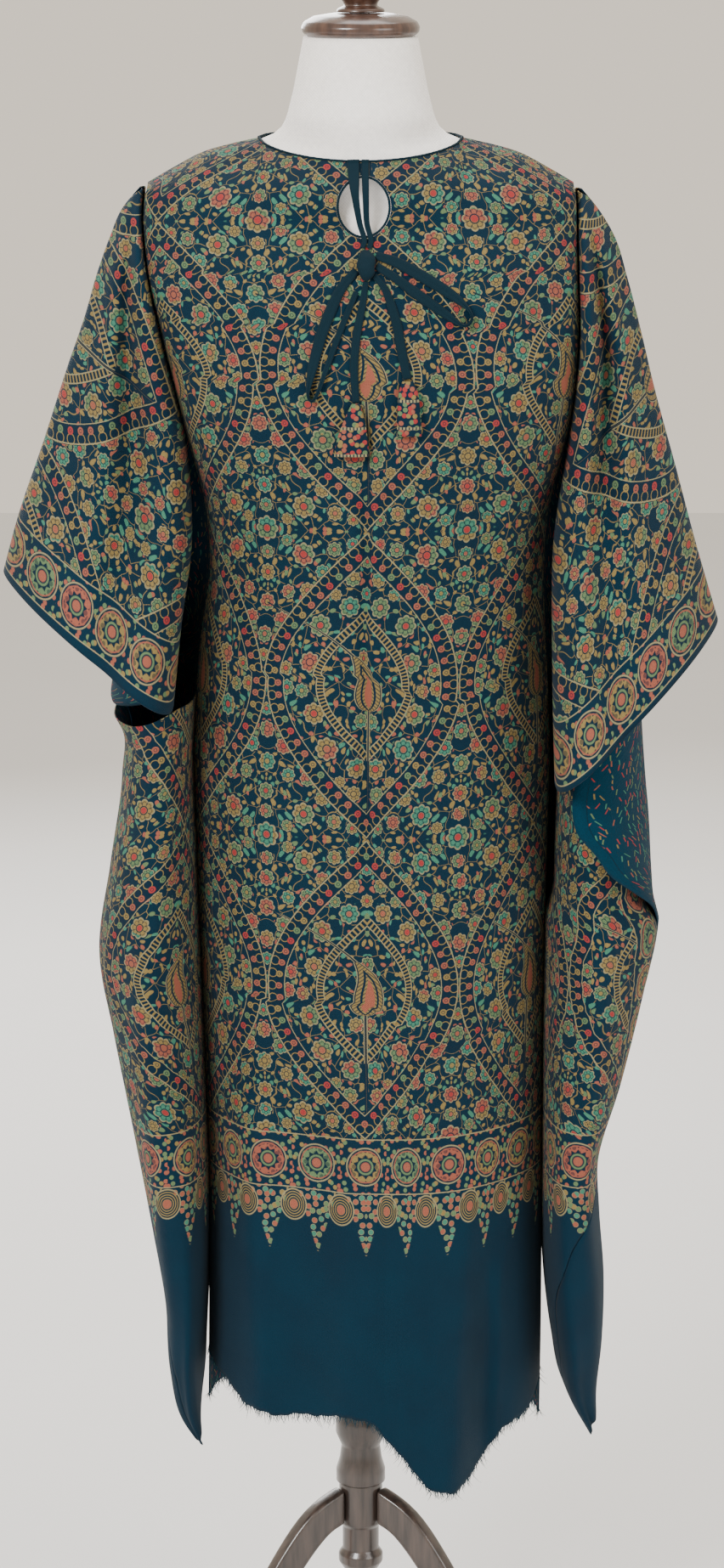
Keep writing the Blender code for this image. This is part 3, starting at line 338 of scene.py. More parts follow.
FRONT_FOLDS = table(
    Fold,
    (0.068, 0.033, -0.014, 0.605, 0.304),
    (0.108, 0.016, 0.013, 0.456, 0.304),
    (-0.052, 0.023, 0.007, 0.895, 0.391),
    (-0.094, 0.02, -0.006, 0.793, 0.391),
)
BACK_FOLDS = table(
    Fold,
    (-0.06, 0.026, -0.009, 0.976, 0.391),
    (0.01, 0.024, -0.012, 1.146, 0.391),
    (0.075, 0.024, -0.009, 0.895, 0.391),
)


class HemPoint(NamedTuple):
    """One point of the lower edge."""

    place: float
    height: float


FRONT_HEM = table(
    HemPoint,
    (-0.132, 0.346),
    (-0.1, 0.324),
    (-0.075, 0.316),
    (-0.01, 0.323),
    (0.011, 0.317),
    (0.036, 0.288),
    (0.061, 0.259),
    (0.079, 0.255),
    (0.096, 0.266),
    (0.121, 0.295),
    (0.145, 0.305),
    (0.157, 0.325),
)
BACK_HEM = table(
    HemPoint,
    (-0.14, 0.3),
    (-0.05, 0.29),
    (0.04, 0.294),
    (0.157, 0.282),
)


class TiePoint(NamedTuple):
    """One point of a tie, laid on the front."""

    x: float
    height: float
    half: float
    lift: float


TIES = {
    "tie_strap_left": (
        TiePoint(-0.0060, 1.3765, 0.0050, 0.0008),
        TiePoint(-0.0055, 1.3620, 0.0045, 0.0008),
        TiePoint(-0.0040, 1.3460, 0.0030, 0.0008),
        TiePoint(-0.0008, 1.3270, 0.0023, 0.0008),
        TiePoint(0.0030, 1.3140, 0.0021, 0.0008),
        TiePoint(0.0014, 1.3078, 0.0021, 0.0008),
    ),
    "tie_strap_right": (
        TiePoint(0.0038, 1.3765, 0.0031, 0.0008),
        TiePoint(0.0038, 1.3620, 0.0029, 0.0008),
        TiePoint(0.0042, 1.3460, 0.0026, 0.0008),
        TiePoint(0.0050, 1.3270, 0.0023, 0.0008),
        TiePoint(0.0084, 1.3140, 0.0021, 0.0008),
        TiePoint(0.0068, 1.3074, 0.0021, 0.0008),
    ),
    "bow_loop_right": (
        TiePoint(0.0122, 1.3020, 0.0030, 0.0008),
        TiePoint(0.0300, 1.2960, 0.0042, 0.0008),
        TiePoint(0.0540, 1.2830, 0.0046, 0.0008),
        TiePoint(0.0760, 1.2690, 0.0038, 0.0014),
        TiePoint(0.0880, 1.2580, 0.0012, 0.0036),
        TiePoint(0.0890, 1.2500, 0.0012, 0.0038),
        TiePoint(0.0820, 1.2470, 0.0014, 0.0034),
        TiePoint(0.0680, 1.2560, 0.0036, 0.0014),
        TiePoint(0.0480, 1.2700, 0.0042, 0.0008),
        TiePoint(0.0300, 1.2830, 0.0036, 0.0008),
        TiePoint(0.0126, 1.2942, 0.0030, 0.0008),
    ),
    "bow_loop_left": (
        TiePoint(-0.0036, 1.2908, 0.0030, 0.0008),
        TiePoint(-0.0170, 1.2740, 0.0042, 0.0008),
        TiePoint(-0.0300, 1.2440, 0.0046, 0.0008),
        TiePoint(-0.0385, 1.2140, 0.0040, 0.0012),
        TiePoint(-0.0425, 1.1935, 0.0014, 0.0034),
        TiePoint(-0.0395, 1.1875, 0.0012, 0.0036),
        TiePoint(-0.0350, 1.1930, 0.0014, 0.0034),
        TiePoint(-0.0265, 1.2160, 0.0022, 0.0014),
        TiePoint(-0.0160, 1.2440, 0.0026, 0.0008),
        TiePoint(-0.0080, 1.2630, 0.0024, 0.0008),
        TiePoint(-0.0036, 1.2740, 0.0022, 0.0008),
    ),
    "tie_tail_left": (
        TiePoint(0.0042, 1.2819, 0.0022, 0.0008),
        TiePoint(0.0015, 1.2640, 0.0030, 0.0008),
        TiePoint(-0.0030, 1.2400, 0.0034, 0.0008),
        TiePoint(-0.0052, 1.2140, 0.0034, 0.0008),
        TiePoint(-0.0038, 1.1860, 0.0030, 0.0008),
    ),
    "tie_tail_right": (
        TiePoint(0.0110, 1.2866, 0.0022, 0.0008),
        TiePoint(0.0200, 1.2750, 0.0030, 0.0008),
        TiePoint(0.0280, 1.2520, 0.0038, 0.0008),
        TiePoint(0.0335, 1.2250, 0.0040, 0.0008),
        TiePoint(0.0376, 1.2047, 0.0034, 0.0008),
    ),
}

class OvalRing(NamedTuple):
    """One oval of the knot or of a tassel."""

    drop: float
    x: float
    half: float
    depth: float


KNOT_TOP = 1.3062
KNOT = table(
    OvalRing,
    (0.0, 0.0045, 0.0025, 0.0015),
    (0.0035, 0.0045, 0.0058, 0.0038),
    (0.0085, 0.0045, 0.0072, 0.0048),
    (0.0145, 0.0045, 0.007, 0.0046),
    (0.02, 0.0045, 0.0052, 0.0036),
    (0.0235, 0.0045, 0.0024, 0.0015),
)
TASSEL_LEFT_TOP = 1.1853
TASSEL_LEFT = table(
    OvalRing,
    (0.0, -0.004, 0.0034, 0.0022),
    (0.007, -0.0046, 0.0064, 0.0036),
    (0.019, -0.0058, 0.0104, 0.0046),
    (0.033, -0.007, 0.0136, 0.0052),
    (0.0425, -0.0076, 0.0142, 0.005),
)
TASSEL_RIGHT_TOP = 1.2033
TASSEL_RIGHT = table(
    OvalRing,
    (0.0, 0.0379, 0.0044, 0.0024),
    (0.008, 0.0382, 0.0076, 0.0036),
    (0.02, 0.0386, 0.0092, 0.0044),
    (0.034, 0.039, 0.0102, 0.0046),
    (0.044, 0.0393, 0.01, 0.0042),
)


class Turn(NamedTuple):
    """One point of a turned profile."""

    radius: float
    height: float


CAP_PROFILE = table(
    Turn,
    (0.0, 1.491),
    (0.0241, 1.4905),
    (0.0386, 1.4881),
    (0.0465, 1.4838),
    (0.0487, 1.4796),
    (0.0482, 1.4757),
    (0.0455, 1.4729),
    (0.043, 1.472),
    (0.0, 1.472),
)
FINIAL_PROFILE = table(
    Turn,
    (0.0, 1.5337),
    (0.009, 1.5322),
    (0.0175, 1.5261),
    (0.0214, 1.5166),
    (0.0208, 1.5071),
    (0.0145, 1.4995),
    (0.0135, 1.4967),
    (0.0193, 1.494),
    (0.02, 1.4914),
    (0.0, 1.4914),
)
COLUMN_PROFILE = table(
    Turn,
    (0.0, 0.6358),
    (0.017, 0.6358),
    (0.017, 0.402),
    (0.02, 0.3912),
    (0.02, 0.3782),
    (0.0165, 0.3653),
    (0.015, 0.3153),
    (0.0175, 0.288),
    (0.022, 0.276),
    (0.022, 0.264),
    (0.017, 0.252),
    (0.0185, 0.24),
    (0.0215, 0.23),
    (0.0215, 0.2186),
    (0.0, 0.2186),
)
HUB_PROFILE = table(
    Turn,
    (0.0, 0.2182),
    (0.019, 0.2182),
    (0.019, 0.181),
    (0.016, 0.177),
    (0.016, 0.156),
    (0.0195, 0.151),
    (0.0195, 0.144),
    (0.015, 0.137),
    (0.009, 0.127),
    (0.0, 0.125),
)


class LegPoint(NamedTuple):
    """One point of a leg, with its half width and half thickness."""

    reach: float
    height: float
    half: float
    rise: float


LEG_POINTS = table(
    LegPoint,
    (0.0194, 0.199, 0.009, 0.0165),
    (0.045, 0.189, 0.009, 0.014),
    (0.07, 0.16, 0.0088, 0.0125),
    (0.095, 0.125, 0.0085, 0.0115),
    (0.125, 0.084, 0.0085, 0.0105),
    (0.155, 0.048, 0.0085, 0.01),
    (0.18, 0.026, 0.009, 0.0095),
    (0.196, 0.012, 0.0095, 0.0095),
    (0.202, 0.0, 0.01, 0.0105),
)
LEG_ANGLES = {"leg_right": -30, "leg_left": 210, "leg_back": 90}


def smooth_read(places: Sequence[float], values: Sequence[float], at: np.ndarray) -> np.ndarray:
    """Read a smooth curve at one or more points.

    Args:
        places: Rising places along the curve.
        values: The curve's value at each place.
        at: Where to read it.

    Returns:
        The value at each point.
    """
    places = np.asarray(places, float)
    values = np.asarray(values, float)
    at = np.clip(at, places[0], places[-1])
    slope = np.gradient(values, places)
    cell = np.clip(np.searchsorted(places, at, side="right") - 1, 0, len(places) - 2)
    width = places[cell + 1] - places[cell]
    t = (at - places[cell]) / width
    return (
        (2 * t**3 - 3 * t**2 + 1) * values[cell]
        + (t**3 - 2 * t**2 + t) * width * slope[cell]
        + (3 * t**2 - 2 * t**3) * values[cell + 1]
        + (t**3 - t**2) * width * slope[cell + 1]
    )


def column(rows: Sequence[NamedTuple], key: str, field: str, at: np.ndarray) -> np.ndarray:
    """Read one field of a table smoothly along its key field.

    Args:
        rows: The table.
        key: The field that the table runs along.
        field: The field to read.
        at: Where to read it.

    Returns:
        The field's value at each point.
    """
    ordered = sorted(rows, key=lambda row: getattr(row, key))
    keys = [getattr(row, key) for row in ordered]
    return smooth_read(keys, [getattr(row, field) for row in ordered], at)


def row_at(rows: Sequence[NamedTuple], key: str, at: float) -> NamedTuple:
    """Read a whole row of a table at one place along its key.

    Args:
        rows: The table.
        key: The field that the table runs along.
        at: Where to read it.

    Returns:
        A row of the same kind.
    """
    kind = type(rows[0])
    return kind(*(float(at) if f == key else float(column(rows, key, f, at)) for f in kind._fields))


def row_between(rows: Sequence[NamedTuple], share: float) -> NamedTuple:
    """Read a whole row of a table at a share of the way down it.

    Args:
        rows: The table.
        share: From 0 at its first row to 1 at its last.

    Returns:
        A row of the same kind.
    """
    keys = np.linspace(0.0, 1.0, len(rows))
    kind = type(rows[0])
    return kind(
        *(float(smooth_read(keys, [getattr(r, f) for r in rows], share)) for f in kind._fields)
    )


def ease(low: float, high: float, at: np.ndarray) -> np.ndarray:
    """Step smoothly from 0 to 1.

    Args:
        low: Where the step starts.
        high: Where it ends, above or below low.
        at: Where to read it.

    Returns:
        The step's value at each point.
    """
    t = np.clip((at - low) / (high - low), 0.0, 1.0)
    return t * t * (3 - 2 * t)


def bell(at: np.ndarray, middle: float, half: float) -> np.ndarray:
    """Swell to 1 at the middle and fade away on both sides.

    Args:
        at: Where to read it.
        middle: Where it is highest.
        half: How far off it has faded to about a third.

    Returns:
        The swell at each point.
    """
    return np.exp(-(((at - middle) / half) ** 2))


def cross_lines(lines: np.ndarray, levels: np.ndarray, heights: np.ndarray) -> np.ndarray:
    """Read a row of points off level lines, with each column at its own height.

    Args:
        lines: One line of points for each level.
        levels: The lines' heights, falling.
        heights: The height wanted in each column.

    Returns:
        The row's points.
    """
    x, y = (
        [np.interp(-h, -levels, lines[:, j, k]) for j, h in enumerate(heights)] for k in (0, 1)
    )
    return np.stack([x, y, heights], axis=1)


def resample(points: np.ndarray, count: int) -> np.ndarray:
    """Spread a line's points evenly along it.

    Args:
        points: The line.
        count: How many points it gets.

    Returns:
        The new points.
    """
    points = np.asarray(points, float)
    steps = np.linalg.norm(np.diff(points, axis=0), axis=1)
    along = np.concatenate(([0.0], np.cumsum(steps)))
    at = np.linspace(0.0, along[-1], count)
    return np.stack([np.interp(at, along, points[:, k]) for k in range(points.shape[1])], axis=1)


def arc_lengths(grid: np.ndarray, axis: int) -> np.ndarray:
    """Measure how far each point of a grid is along its row or column.

    Args:
        grid: Rows of points.
        axis: 0 to measure down the columns, 1 to measure along the rows.

    Returns:
        The distance from the grid's first edge to each point.
    """
    steps = np.linalg.norm(np.diff(grid, axis=axis), axis=2)
    pad = [(0, 0), (0, 0)]
    pad[axis] = (1, 0)
    return np.cumsum(np.pad(steps, pad), axis=axis)


@dataclass(frozen=True)
class Crease:
    """A soft trough or ridge pressed or hung into the body, as uneven as cloth is."""

    place: float
    half: float
    depth: float
    low: float
    high: float
    lean: float = 0.0

    def push(self, x: np.ndarray, z: np.ndarray) -> np.ndarray:
        """Measure how far the crease sinks the cloth.

        Args:
            x: Places across the body.
            z: Heights on it.

        Returns:
            The depth at each point, fading at the crease's two ends.
        """
        middle = (self.low + self.high) / 2
        centre = self.place + self.lean * (z - middle) + 0.0012 * np.sin(z * 61.0 + self.place * 90)
        ends = ease(self.low - 0.04, self.low + 0.05, z) * ease(self.high + 0.04, self.high - 0.05, z)
        return self.depth * bell(x, centre, self.half) * ends


FRONT_CREASES = table(
    Crease,
    (0.003, 0.0045, 0.0048, 0.79, 1.19, 0.004),
    (0.012, 0.0045, -0.004, 0.8, 1.18, 0.004),
    (-0.01, 0.011, -0.0016, 0.7, 1.06, 0.01),
    (0.019, 0.01, -0.0014, 0.76, 1.08, -0.008),
    (0.118, 0.006, -0.0026, 0.28, 0.47, 0.03),
    (0.106, 0.005, 0.0024, 0.27, 0.44, 0.026),
    (0.086, 0.01, -0.0036, 0.25, 0.52, 0.04),
    (-0.03, 0.014, 0.0034, 0.3, 0.64, 0.02),
    (-0.09, 0.011, -0.0032, 0.3, 0.6, -0.03),
    (-0.07, 0.012, 0.0018, 1.08, 1.28, 0.3),
    (0.082, 0.013, 0.0018, 1.08, 1.29, -0.28),
    (-0.105, 0.009, -0.0016, 1.01, 1.22, 0.18),
    (0.115, 0.009, -0.0016, 1.02, 1.23, -0.16),
)
BACK_CREASES = table(
    Crease,
    (0.0, 0.006, 0.0026, 0.78, 1.12, 0.006),
    (-0.05, 0.015, -0.0024, 0.33, 0.9, 0.03),
    (0.052, 0.014, 0.0022, 0.33, 0.86, -0.04),
    (0.102, 0.009, -0.0022, 0.32, 0.7, 0.03),
    (-0.104, 0.01, 0.0022, 0.32, 0.66, -0.02),
    (-0.064, 0.013, 0.0018, 1.06, 1.3, 0.25),
    (0.066, 0.013, 0.0018, 1.06, 1.3, -0.25),
)


class Layer(NamedTuple):
    """One layer of the shawl: its points, where each lies on the flat shawl, and its turned lip."""

    points: np.ndarray
    flat: np.ndarray
    lip: tuple[int, int] = (0, 0)


def ripple(a: np.ndarray, b: np.ndarray, size: float) -> np.ndarray:
    """Make the slight unevenness of hung cloth.

    Args:
        a: Places across it.
        b: Places down it.
        size: How far it moves at most.

    Returns:
        A small push at each point.
    """
    slow = np.sin(a * 47.0 + 1.3 * np.sin(b * 9.0)) * np.sin(b * 13.0 + 2.0 * np.sin(a * 21.0))
    quick = np.sin(a * 131.0 + b * 37.0) * np.sin(b * 83.0 - a * 29.0)
    return size * (0.7 * slow + 0.3 * quick)


@dataclass
class BodyShape:
    """The body of the kaftan between its stitch lines, front or back."""

    front: bool
    columns: int = 105
    rows: int = 300

    def angles(self) -> np.ndarray:
        """Place the columns round the body, with one on each end of the neck opening."""
        share = NECK_HALF / SHOULDER_HALF
        neck = int(self.columns * 0.34) // 2 * 2 + 1
        outer = (self.columns - neck) // 2
        middle = np.arcsin(np.linspace(-share, share, neck))
        side = np.linspace(np.arcsin(share), np.pi / 2, outer + 1)[1:]
        return np.concatenate((-side[::-1], middle, side))

    def top(self, across: np.ndarray) -> np.ndarray:
        """Shape the shoulder fold, and the neck edge between.

        Args:
            across: Places across the shoulders.

        Returns:
            A row of points, with the depth counted outwards.
        """
        side = float(column(SHOULDER_FOLD, "reach", "height", NECK_HALF))
        middle = NECK_FRONT_HEIGHT if self.front else NECK_BACK_HEIGHT
        depth = NECK_FRONT_DEPTH if self.front else NECK_BACK_DEPTH
        sag = np.sqrt(np.clip(1 - (across / NECK_HALF) ** 2, 0, 1))
        height = side + (middle - side) * sag**1.3
        fold = column(SHOULDER_FOLD, "reach", "height", np.abs(across))
        height = np.where(np.abs(across) > NECK_HALF + 1e-6, fold, height)
        return np.stack([across, depth * sag + SEAM_GAP / 2, height], axis=1)

    def level(self, heights: np.ndarray, angles: np.ndarray) -> np.ndarray:
        """Shape the body at the given heights.

        Args:
            heights: A grid of heights.
            angles: Each column's place round the body.

        Returns:
            A grid of points, with the depth counted outwards.
        """
        left = column(BODY_RINGS, "height", "left", heights)
        right = column(BODY_RINGS, "height", "right", heights)
        depth = column(BODY_RINGS, "height", "front" if self.front else "back", heights)
        edge = np.maximum(column(BODY_RINGS, "height", "edge", heights), SEAM_GAP / 2)
        across = (right - left) / 2 + (right + left) / 2 * np.sin(angles)
        ahead = depth + (edge - depth) * (1 - np.cos(angles))
        return np.stack([across, ahead, heights], axis=-1)

    def yoke(self, top: np.ndarray, chest: np.ndarray, angles: np.ndarray) -> list[np.ndarray]:
        """Turn the cloth from the shoulder fold or neck edge down to the chest.

        Args:
            top: The first row.
            chest: The row at the chest.
            angles: Each column's place round the body.

        Returns:
            The rows between them, evenly spread.
        """
        sag = np.sqrt(np.clip(1 - (top[:, 0] / NECK_HALF) ** 2, 0, 1))
        crest = top.copy()
        crest[:, 1] += 0.020 - 0.013 * sag
        crest[:, 2] -= 0.0040 + 0.0050 * sag
        middle = 0.45 * crest + 0.55 * chest
        middle[:, 1] += (0.012 - 0.008 * sag) * np.cos(angles)
        middle[:, 2] += 0.006
        knots = np.stack([top, crest, middle, chest])
        keys = np.array([0.0, 0.22, 0.62, 1.0])
        shares = np.linspace(0.0, 1.0, YOKE_ROWS, endpoint=False)
        rows = np.empty((len(shares), len(angles), 3))
        for j in range(len(angles)):
            for k in range(3):
                rows[:, j, k] = smooth_read(keys, knots[:, j, k], shares)
        return list(rows)

    def layer(self) -> Layer:
        """Shape the whole layer, with its hung folds, its creases and its uneven hem.

        Returns:
            The points about the stand's axis, and their places on the flat shawl.
        """
        hem = FRONT_HEM if self.front else BACK_HEM
        folds = FRONT_FOLDS if self.front else BACK_FOLDS
        creases = FRONT_CREASES if self.front else BACK_CREASES
        angles = self.angles()
        top = self.top(SHOULDER_HALF * np.sin(angles))
        chest_height = BODY_RINGS[0].height
        chest = self.level(np.full(len(angles), chest_height), angles)
        across = self.level(np.full(len(angles), WING_HEM), angles)[:, 0]
        ends = np.interp(across, [p.place for p in hem], [p.height for p in hem])
        ends += 0.0008 * np.sin(across * 210.0) + 0.0006 * np.sin(across * 530.0)
        shares = np.linspace(0.0, 1.0, self.rows - YOKE_ROWS)[:, None]
        heights = chest_height + (ends[None, :] - chest_height) * shares
        below = self.level(heights, angles[None, :])
        for fold in folds:
            swell = bell(below[..., 0], fold.place, fold.half)
            below[..., 1] -= fold.depth * swell * ease(fold.start, fold.full, heights)
        for crease in creases:
            below[..., 1] -= crease.push(below[..., 0], heights)
        fade = np.cos(angles)[None, :] ** 0.5
        below[..., 1] += ripple(below[..., 0], heights, 0.0011) * fade
        grid = np.concatenate([np.array(self.yoke(top, chest, angles)), below])
        grid[..., 1] *= -1 if self.front else 1
        down = arc_lengths(grid, 0)
        v = (CLOTH_TOP - grid[-1, :, 2]) - (down[-1] - down)
        u = arc_lengths(grid, 1)
        centre = np.argmin(np.abs(grid[..., 0] - 0.004), axis=1)
        u = u - np.take_along_axis(u, centre[:, None], axis=1)
        return Layer(grid, np.stack([u, v], axis=-1))


def panel_at(grid: np.ndarray, x: float, height: float) -> float:
    """Find where the front's surface stands at a place on it.

    Args:
        grid: The front's points.
        x: The place across it.
        height: The height.

    Returns:
        The depth, front to back.
    """
    lines = grid.transpose(1, 0, 2)
    near = np.argsort([abs(line[60, 0] - x) for line in lines])[:14]
    lines = lines[np.sort(near)]
    across = [np.interp(-height, -line[:, 2], line[:, 0]) for line in lines]
    ahead = [np.interp(-height, -line[:, 2], line[:, 1]) for line in lines]
    return float(np.interp(x, across, ahead))


class Side(NamedTuple):
    """One side of the garment: its tables, and where its layers start."""

    name: str
    sign: int
    fold: tuple
    sleeve: tuple
    wing: tuple
    rim: tuple
    front_top: float
    front_cap: float
    back_top: float
    inset: float
    rim_run: tuple[float, float]


SIDES = (
    Side(
        "left", -1, LEFT_FOLD, LEFT_SLEEVE, LEFT_WING, LEFT_RIM,
        front_top=0.9255, front_cap=0.9125, back_top=1.3490, inset=0.0, rim_run=(-0.77, -0.53),
    ),
    Side(
        "right", 1, RIGHT_FOLD, RIGHT_SLEEVE, RIGHT_WING, RIGHT_RIM,
        front_top=0.9250, front_cap=0.8900, back_top=1.3475, inset=0.014, rim_run=(-0.69, -0.64),
    ),
)


@dataclass
class SideShape:
    """The cloth outside one stitch line: sleeve front, wing front, and the back of both."""

    side: Side

    def stitch(self, field: str, height: float) -> float:
        """Read the body's side edge at a height."""
        return float(column(BODY_RINGS, "height", field, height))

    def sleeve_line(self, share: float, columns: int) -> np.ndarray:
        """Shape one row of the sleeve front, from its near end to the fold.

        Args:
            share: How far down the sleeve it is.
            columns: How many points it gets.

        Returns:
            The row's points, with x counted outwards.
        """
        read = row_between(self.side.sleeve, share)
        swing = np.linspace(0.0, np.pi, 90)
        out = (1 - np.cos(swing)) / 2
        outer = float(column(self.side.fold, "height", "reach", read.far))
        reach = read.inner + (outer - read.inner) * out
        height = read.near + (read.far - read.near) * out
        bulge = read.depth * np.sin(swing) ** 0.65 * (1 - 0.45 * out)
        crease = 1.25 * read.trough * bell(out, 0.36, 0.13)
        wave = 0.0030 * np.sin(out * 11.0 + share * 5.0) * np.sin(swing) * ease(0.05, 0.5, share)
        ahead = read.inner_back * (1 - out) + FOLD_GAP + bulge - crease + wave
        return resample(np.stack([reach, -ahead, height], axis=1), columns)

    def sleeve_front(self, columns: int = 56, rows: int = 110) -> Layer:
        """Shape the sleeve front, from the shoulder to the mouth rim.

        Args:
            columns: Points across it.
            rows: Points down it.

        Returns:
            The layer, with the shawl's side edge along the rim.
        """
        grid = np.array([self.sleeve_line(t, columns) for t in np.linspace(0.0, 1.0, rows)])
        tip = self.side.fold[-1]
        along, inward = np.array((0.300, -0.960)), np.array(self.side.rim_run)
        turn = np.linalg.inv(np.stack([along, inward], axis=1))
        offset = np.stack([grid[..., 0] - tip.reach, grid[..., 2] - tip.height], axis=-1)
        flat = offset @ turn.T
        flat[..., 0] += SHAWL_HALF
        return Layer(grid, flat)

    def wing_ring(self, height: float, inset: float = 0.0) -> tuple[np.ndarray, float]:
        """Shape the wing's ring at a height, from the stitch line round and back to it.

        Args:
            height: The level.
            inset: How far inside the mouth this layer stands.

        Returns:
            The ring's points and the share of it at which the two layers meet.
        """
        wing = self.side.wing
        ring = row_at(wing, "height", max(height, wing[-1].height))
        inner = self.stitch(self.side.name, max(height, WING_HEM)) + STITCH_STEP + ring.ease
        swing = np.linspace(0.0, 2 * np.pi, RING_STEPS + 1)
        out = (1 - np.cos(swing)) / 2
        depth = np.where(swing < np.pi, ring.front - inset, ring.back - inset)
        swell = np.sign(np.sin(swing)) * np.abs(np.sin(swing)) ** 0.75
        reach = inner + inset * 0.5 + (ring.outer - inner - inset * 1.5) * out
        start = ease(0.0, 0.25, out) * ring.middle
        wave = 0.0028 * np.sin(swing * 5 + height * 14) * np.sin(swing) ** 2 * ease(0.95, 0.7, height)
        return np.stack([reach - wave * 0.4, -start - depth * swell + wave], axis=1), ring.seam / 360

    def wing_line(self, height: float, columns: int, front: bool) -> np.ndarray:
        """Shape one layer of the wing at a height, from the stitch line to the seam.

        Args:
            height: The level.
            columns: How many points it gets.
            front: Whether it is the front layer.

        Returns:
            The row's points, with x counted outwards.
        """
        low = self.side.rim[-1].height
        inset = self.side.inset * ease(low - 0.004, low + 0.030, height) if front else 0.0
        line, seam = self.wing_ring(height, inset)
        at = seam * RING_STEPS
        if front:
            line = line[: max(int(at), 6) + 1].copy()
            line[0, 1] -= SEAM_GAP / 2
        else:
            line = line[min(int(at) + 1, RING_STEPS - 4) :][::-1].copy()
            line[0, 1] += SEAM_GAP / 2
        return resample(line, columns)

    def sleeve_back_line(self, height: float, columns: int) -> np.ndarray:
        """Shape the back layer above the sleeve's tip, from the stitch line to the fold.

        Args:
            height: The level.
            columns: How many points it gets.

        Returns:
            The row's points, with x counted outwards.
        """
        swing = np.linspace(0.0, np.pi, 97)
        out = (1 - np.cos(swing)) / 2
        outer = float(column(self.side.fold, "height", "reach", height))
        depth = float(column(BACK_DEPTH, "height", "reach", height))
        body = min(height, BODY_RINGS[0].height)
        edge = max(self.stitch("edge", body), SEAM_GAP / 2) * ease(1.354, 1.318, height)
        inner = min(self.stitch(self.side.name, body) + STITCH_STEP, outer - 0.004)
        reach = inner + (outer - inner) * out
        behind = edge * (1 - out) + FOLD_GAP + depth * np.sin(swing) ** 0.75 * (1 - 0.35 * out)
        behind += 0.0030 * np.sin(out * 12 + height * 22) * np.sin(swing) * ease(1.33, 1.2, height)
        return resample(np.stack([reach, behind], axis=1), columns)

    def mouth_line(self, height: float, columns: int) -> np.ndarray:
        """Shape the back layer in the mouth, from the stitch line to its edge in front.

        Args:
            height: The level.
            columns: How many points it gets.

        Returns:
            The row's points, with x counted outwards.
        """
        swing = np.linspace(0.0, np.pi, 97)
        out = (1 - np.cos(swing)) / 2
        tip, low = self.side.fold[-1].height, self.side.rim[-1].height
        rim = row_at(self.side.rim, "height", height)
        inner = self.stitch(self.side.name, height) + STITCH_STEP
        edge = max(self.stitch("edge", height), SEAM_GAP / 2)
        narrow = 1 - 0.35 * out * ease(low, tip, height)
        reach = inner + (rim.flank - inner) * out
        behind = edge * (1 - out) + FOLD_GAP + rim.back * np.sin(swing) ** 0.75 * narrow
        turn = np.linspace(0.0, np.pi / 2, 40)[1:]
        lap = rim.flank + (rim.edge - rim.flank) * (1 - np.cos(turn))
        ahead = -rim.ahead * np.sin(turn)
        flank = resample(np.stack([reach, behind], axis=1), columns - LIP_COLUMNS)
        lip = np.stack([lap, ahead], axis=1)
        return np.concatenate([flank, resample(np.concatenate([flank[-1:], lip]), LIP_COLUMNS + 1)[1:]])

    def ends(self, columns: int) -> np.ndarray:
        """Shape the wing's lower edge, high by the stitch line and lowest at the corner."""
        along = np.linspace(0.0, 1.0, columns)
        return WING_HEM + (self.side.wing[-1].height - WING_HEM) * along**1.2

    def below(self, columns: int, front: bool, first: float, step: float = 0.0045) -> np.ndarray:
        """Shape a wing layer from a height down to its pointed lower edge.

        Args:
            columns: Points across it.
            front: Whether it is the front layer.
            first: The height of its first row.
            step: The distance between rows.

        Returns:
            Rows of points.
        """
        tip = self.side.wing[-1].height
        levels = np.linspace(first, tip, int((first - tip) / step))
        reads = np.linspace(first, tip, 160)
        lines = np.array([self.wing_line(h, columns, front) for h in reads])
        ends = self.ends(columns)
        rows = []
        for level in levels:
            share = max(WING_LEVEL - level, 0.0) / (WING_LEVEL - tip)
            heights = np.full(columns, level) if share == 0.0 else WING_LEVEL + (ends - WING_LEVEL) * share
            rows.append(cross_lines(lines, reads, heights))
        return np.array(rows)

    def settle(self, grid: np.ndarray) -> Layer:
        """Lay an upright layer out flat, with the shawl's side edge at its far end.

        Args:
            grid: Rows of points.

        Returns:
            The layer.
        """
        across = arc_lengths(grid, 1)
        width = across[:, -1]
        held = np.interp(WING_EVEN, grid[::-1, 0, 2], width[::-1])
        width = np.where(grid[:, 0, 2] < WING_EVEN, held, width)
        u = SHAWL_HALF - (width[:, None] - across)
        return Layer(grid, np.stack([u, CLOTH_TOP - grid[..., 2]], axis=-1))

    def wing_front(self, columns: int = 48) -> Layer:
        """Shape the wing's front layer, from inside the mouth to the corner."""
        side = self.side
        along = np.linspace(0.0, 1.0, columns)
        tops = side.front_cap + (side.front_top - side.front_cap) * (1 - ease(0.28, 0.50, along))
        first = min(side.rim[-1].height, float(tops.min())) - 0.006
        reads = np.linspace(float(tops.max()), first, 60)
        lines = np.array([self.wing_line(h, columns, True) for h in reads])
        above = []
        for share in np.linspace(0.0, 1.0, 40, endpoint=False):
            above.append(cross_lines(lines, reads, tops + (first - tops) * share))
        return self.settle(np.concatenate([np.array(above), self.below(columns, True, first)]))

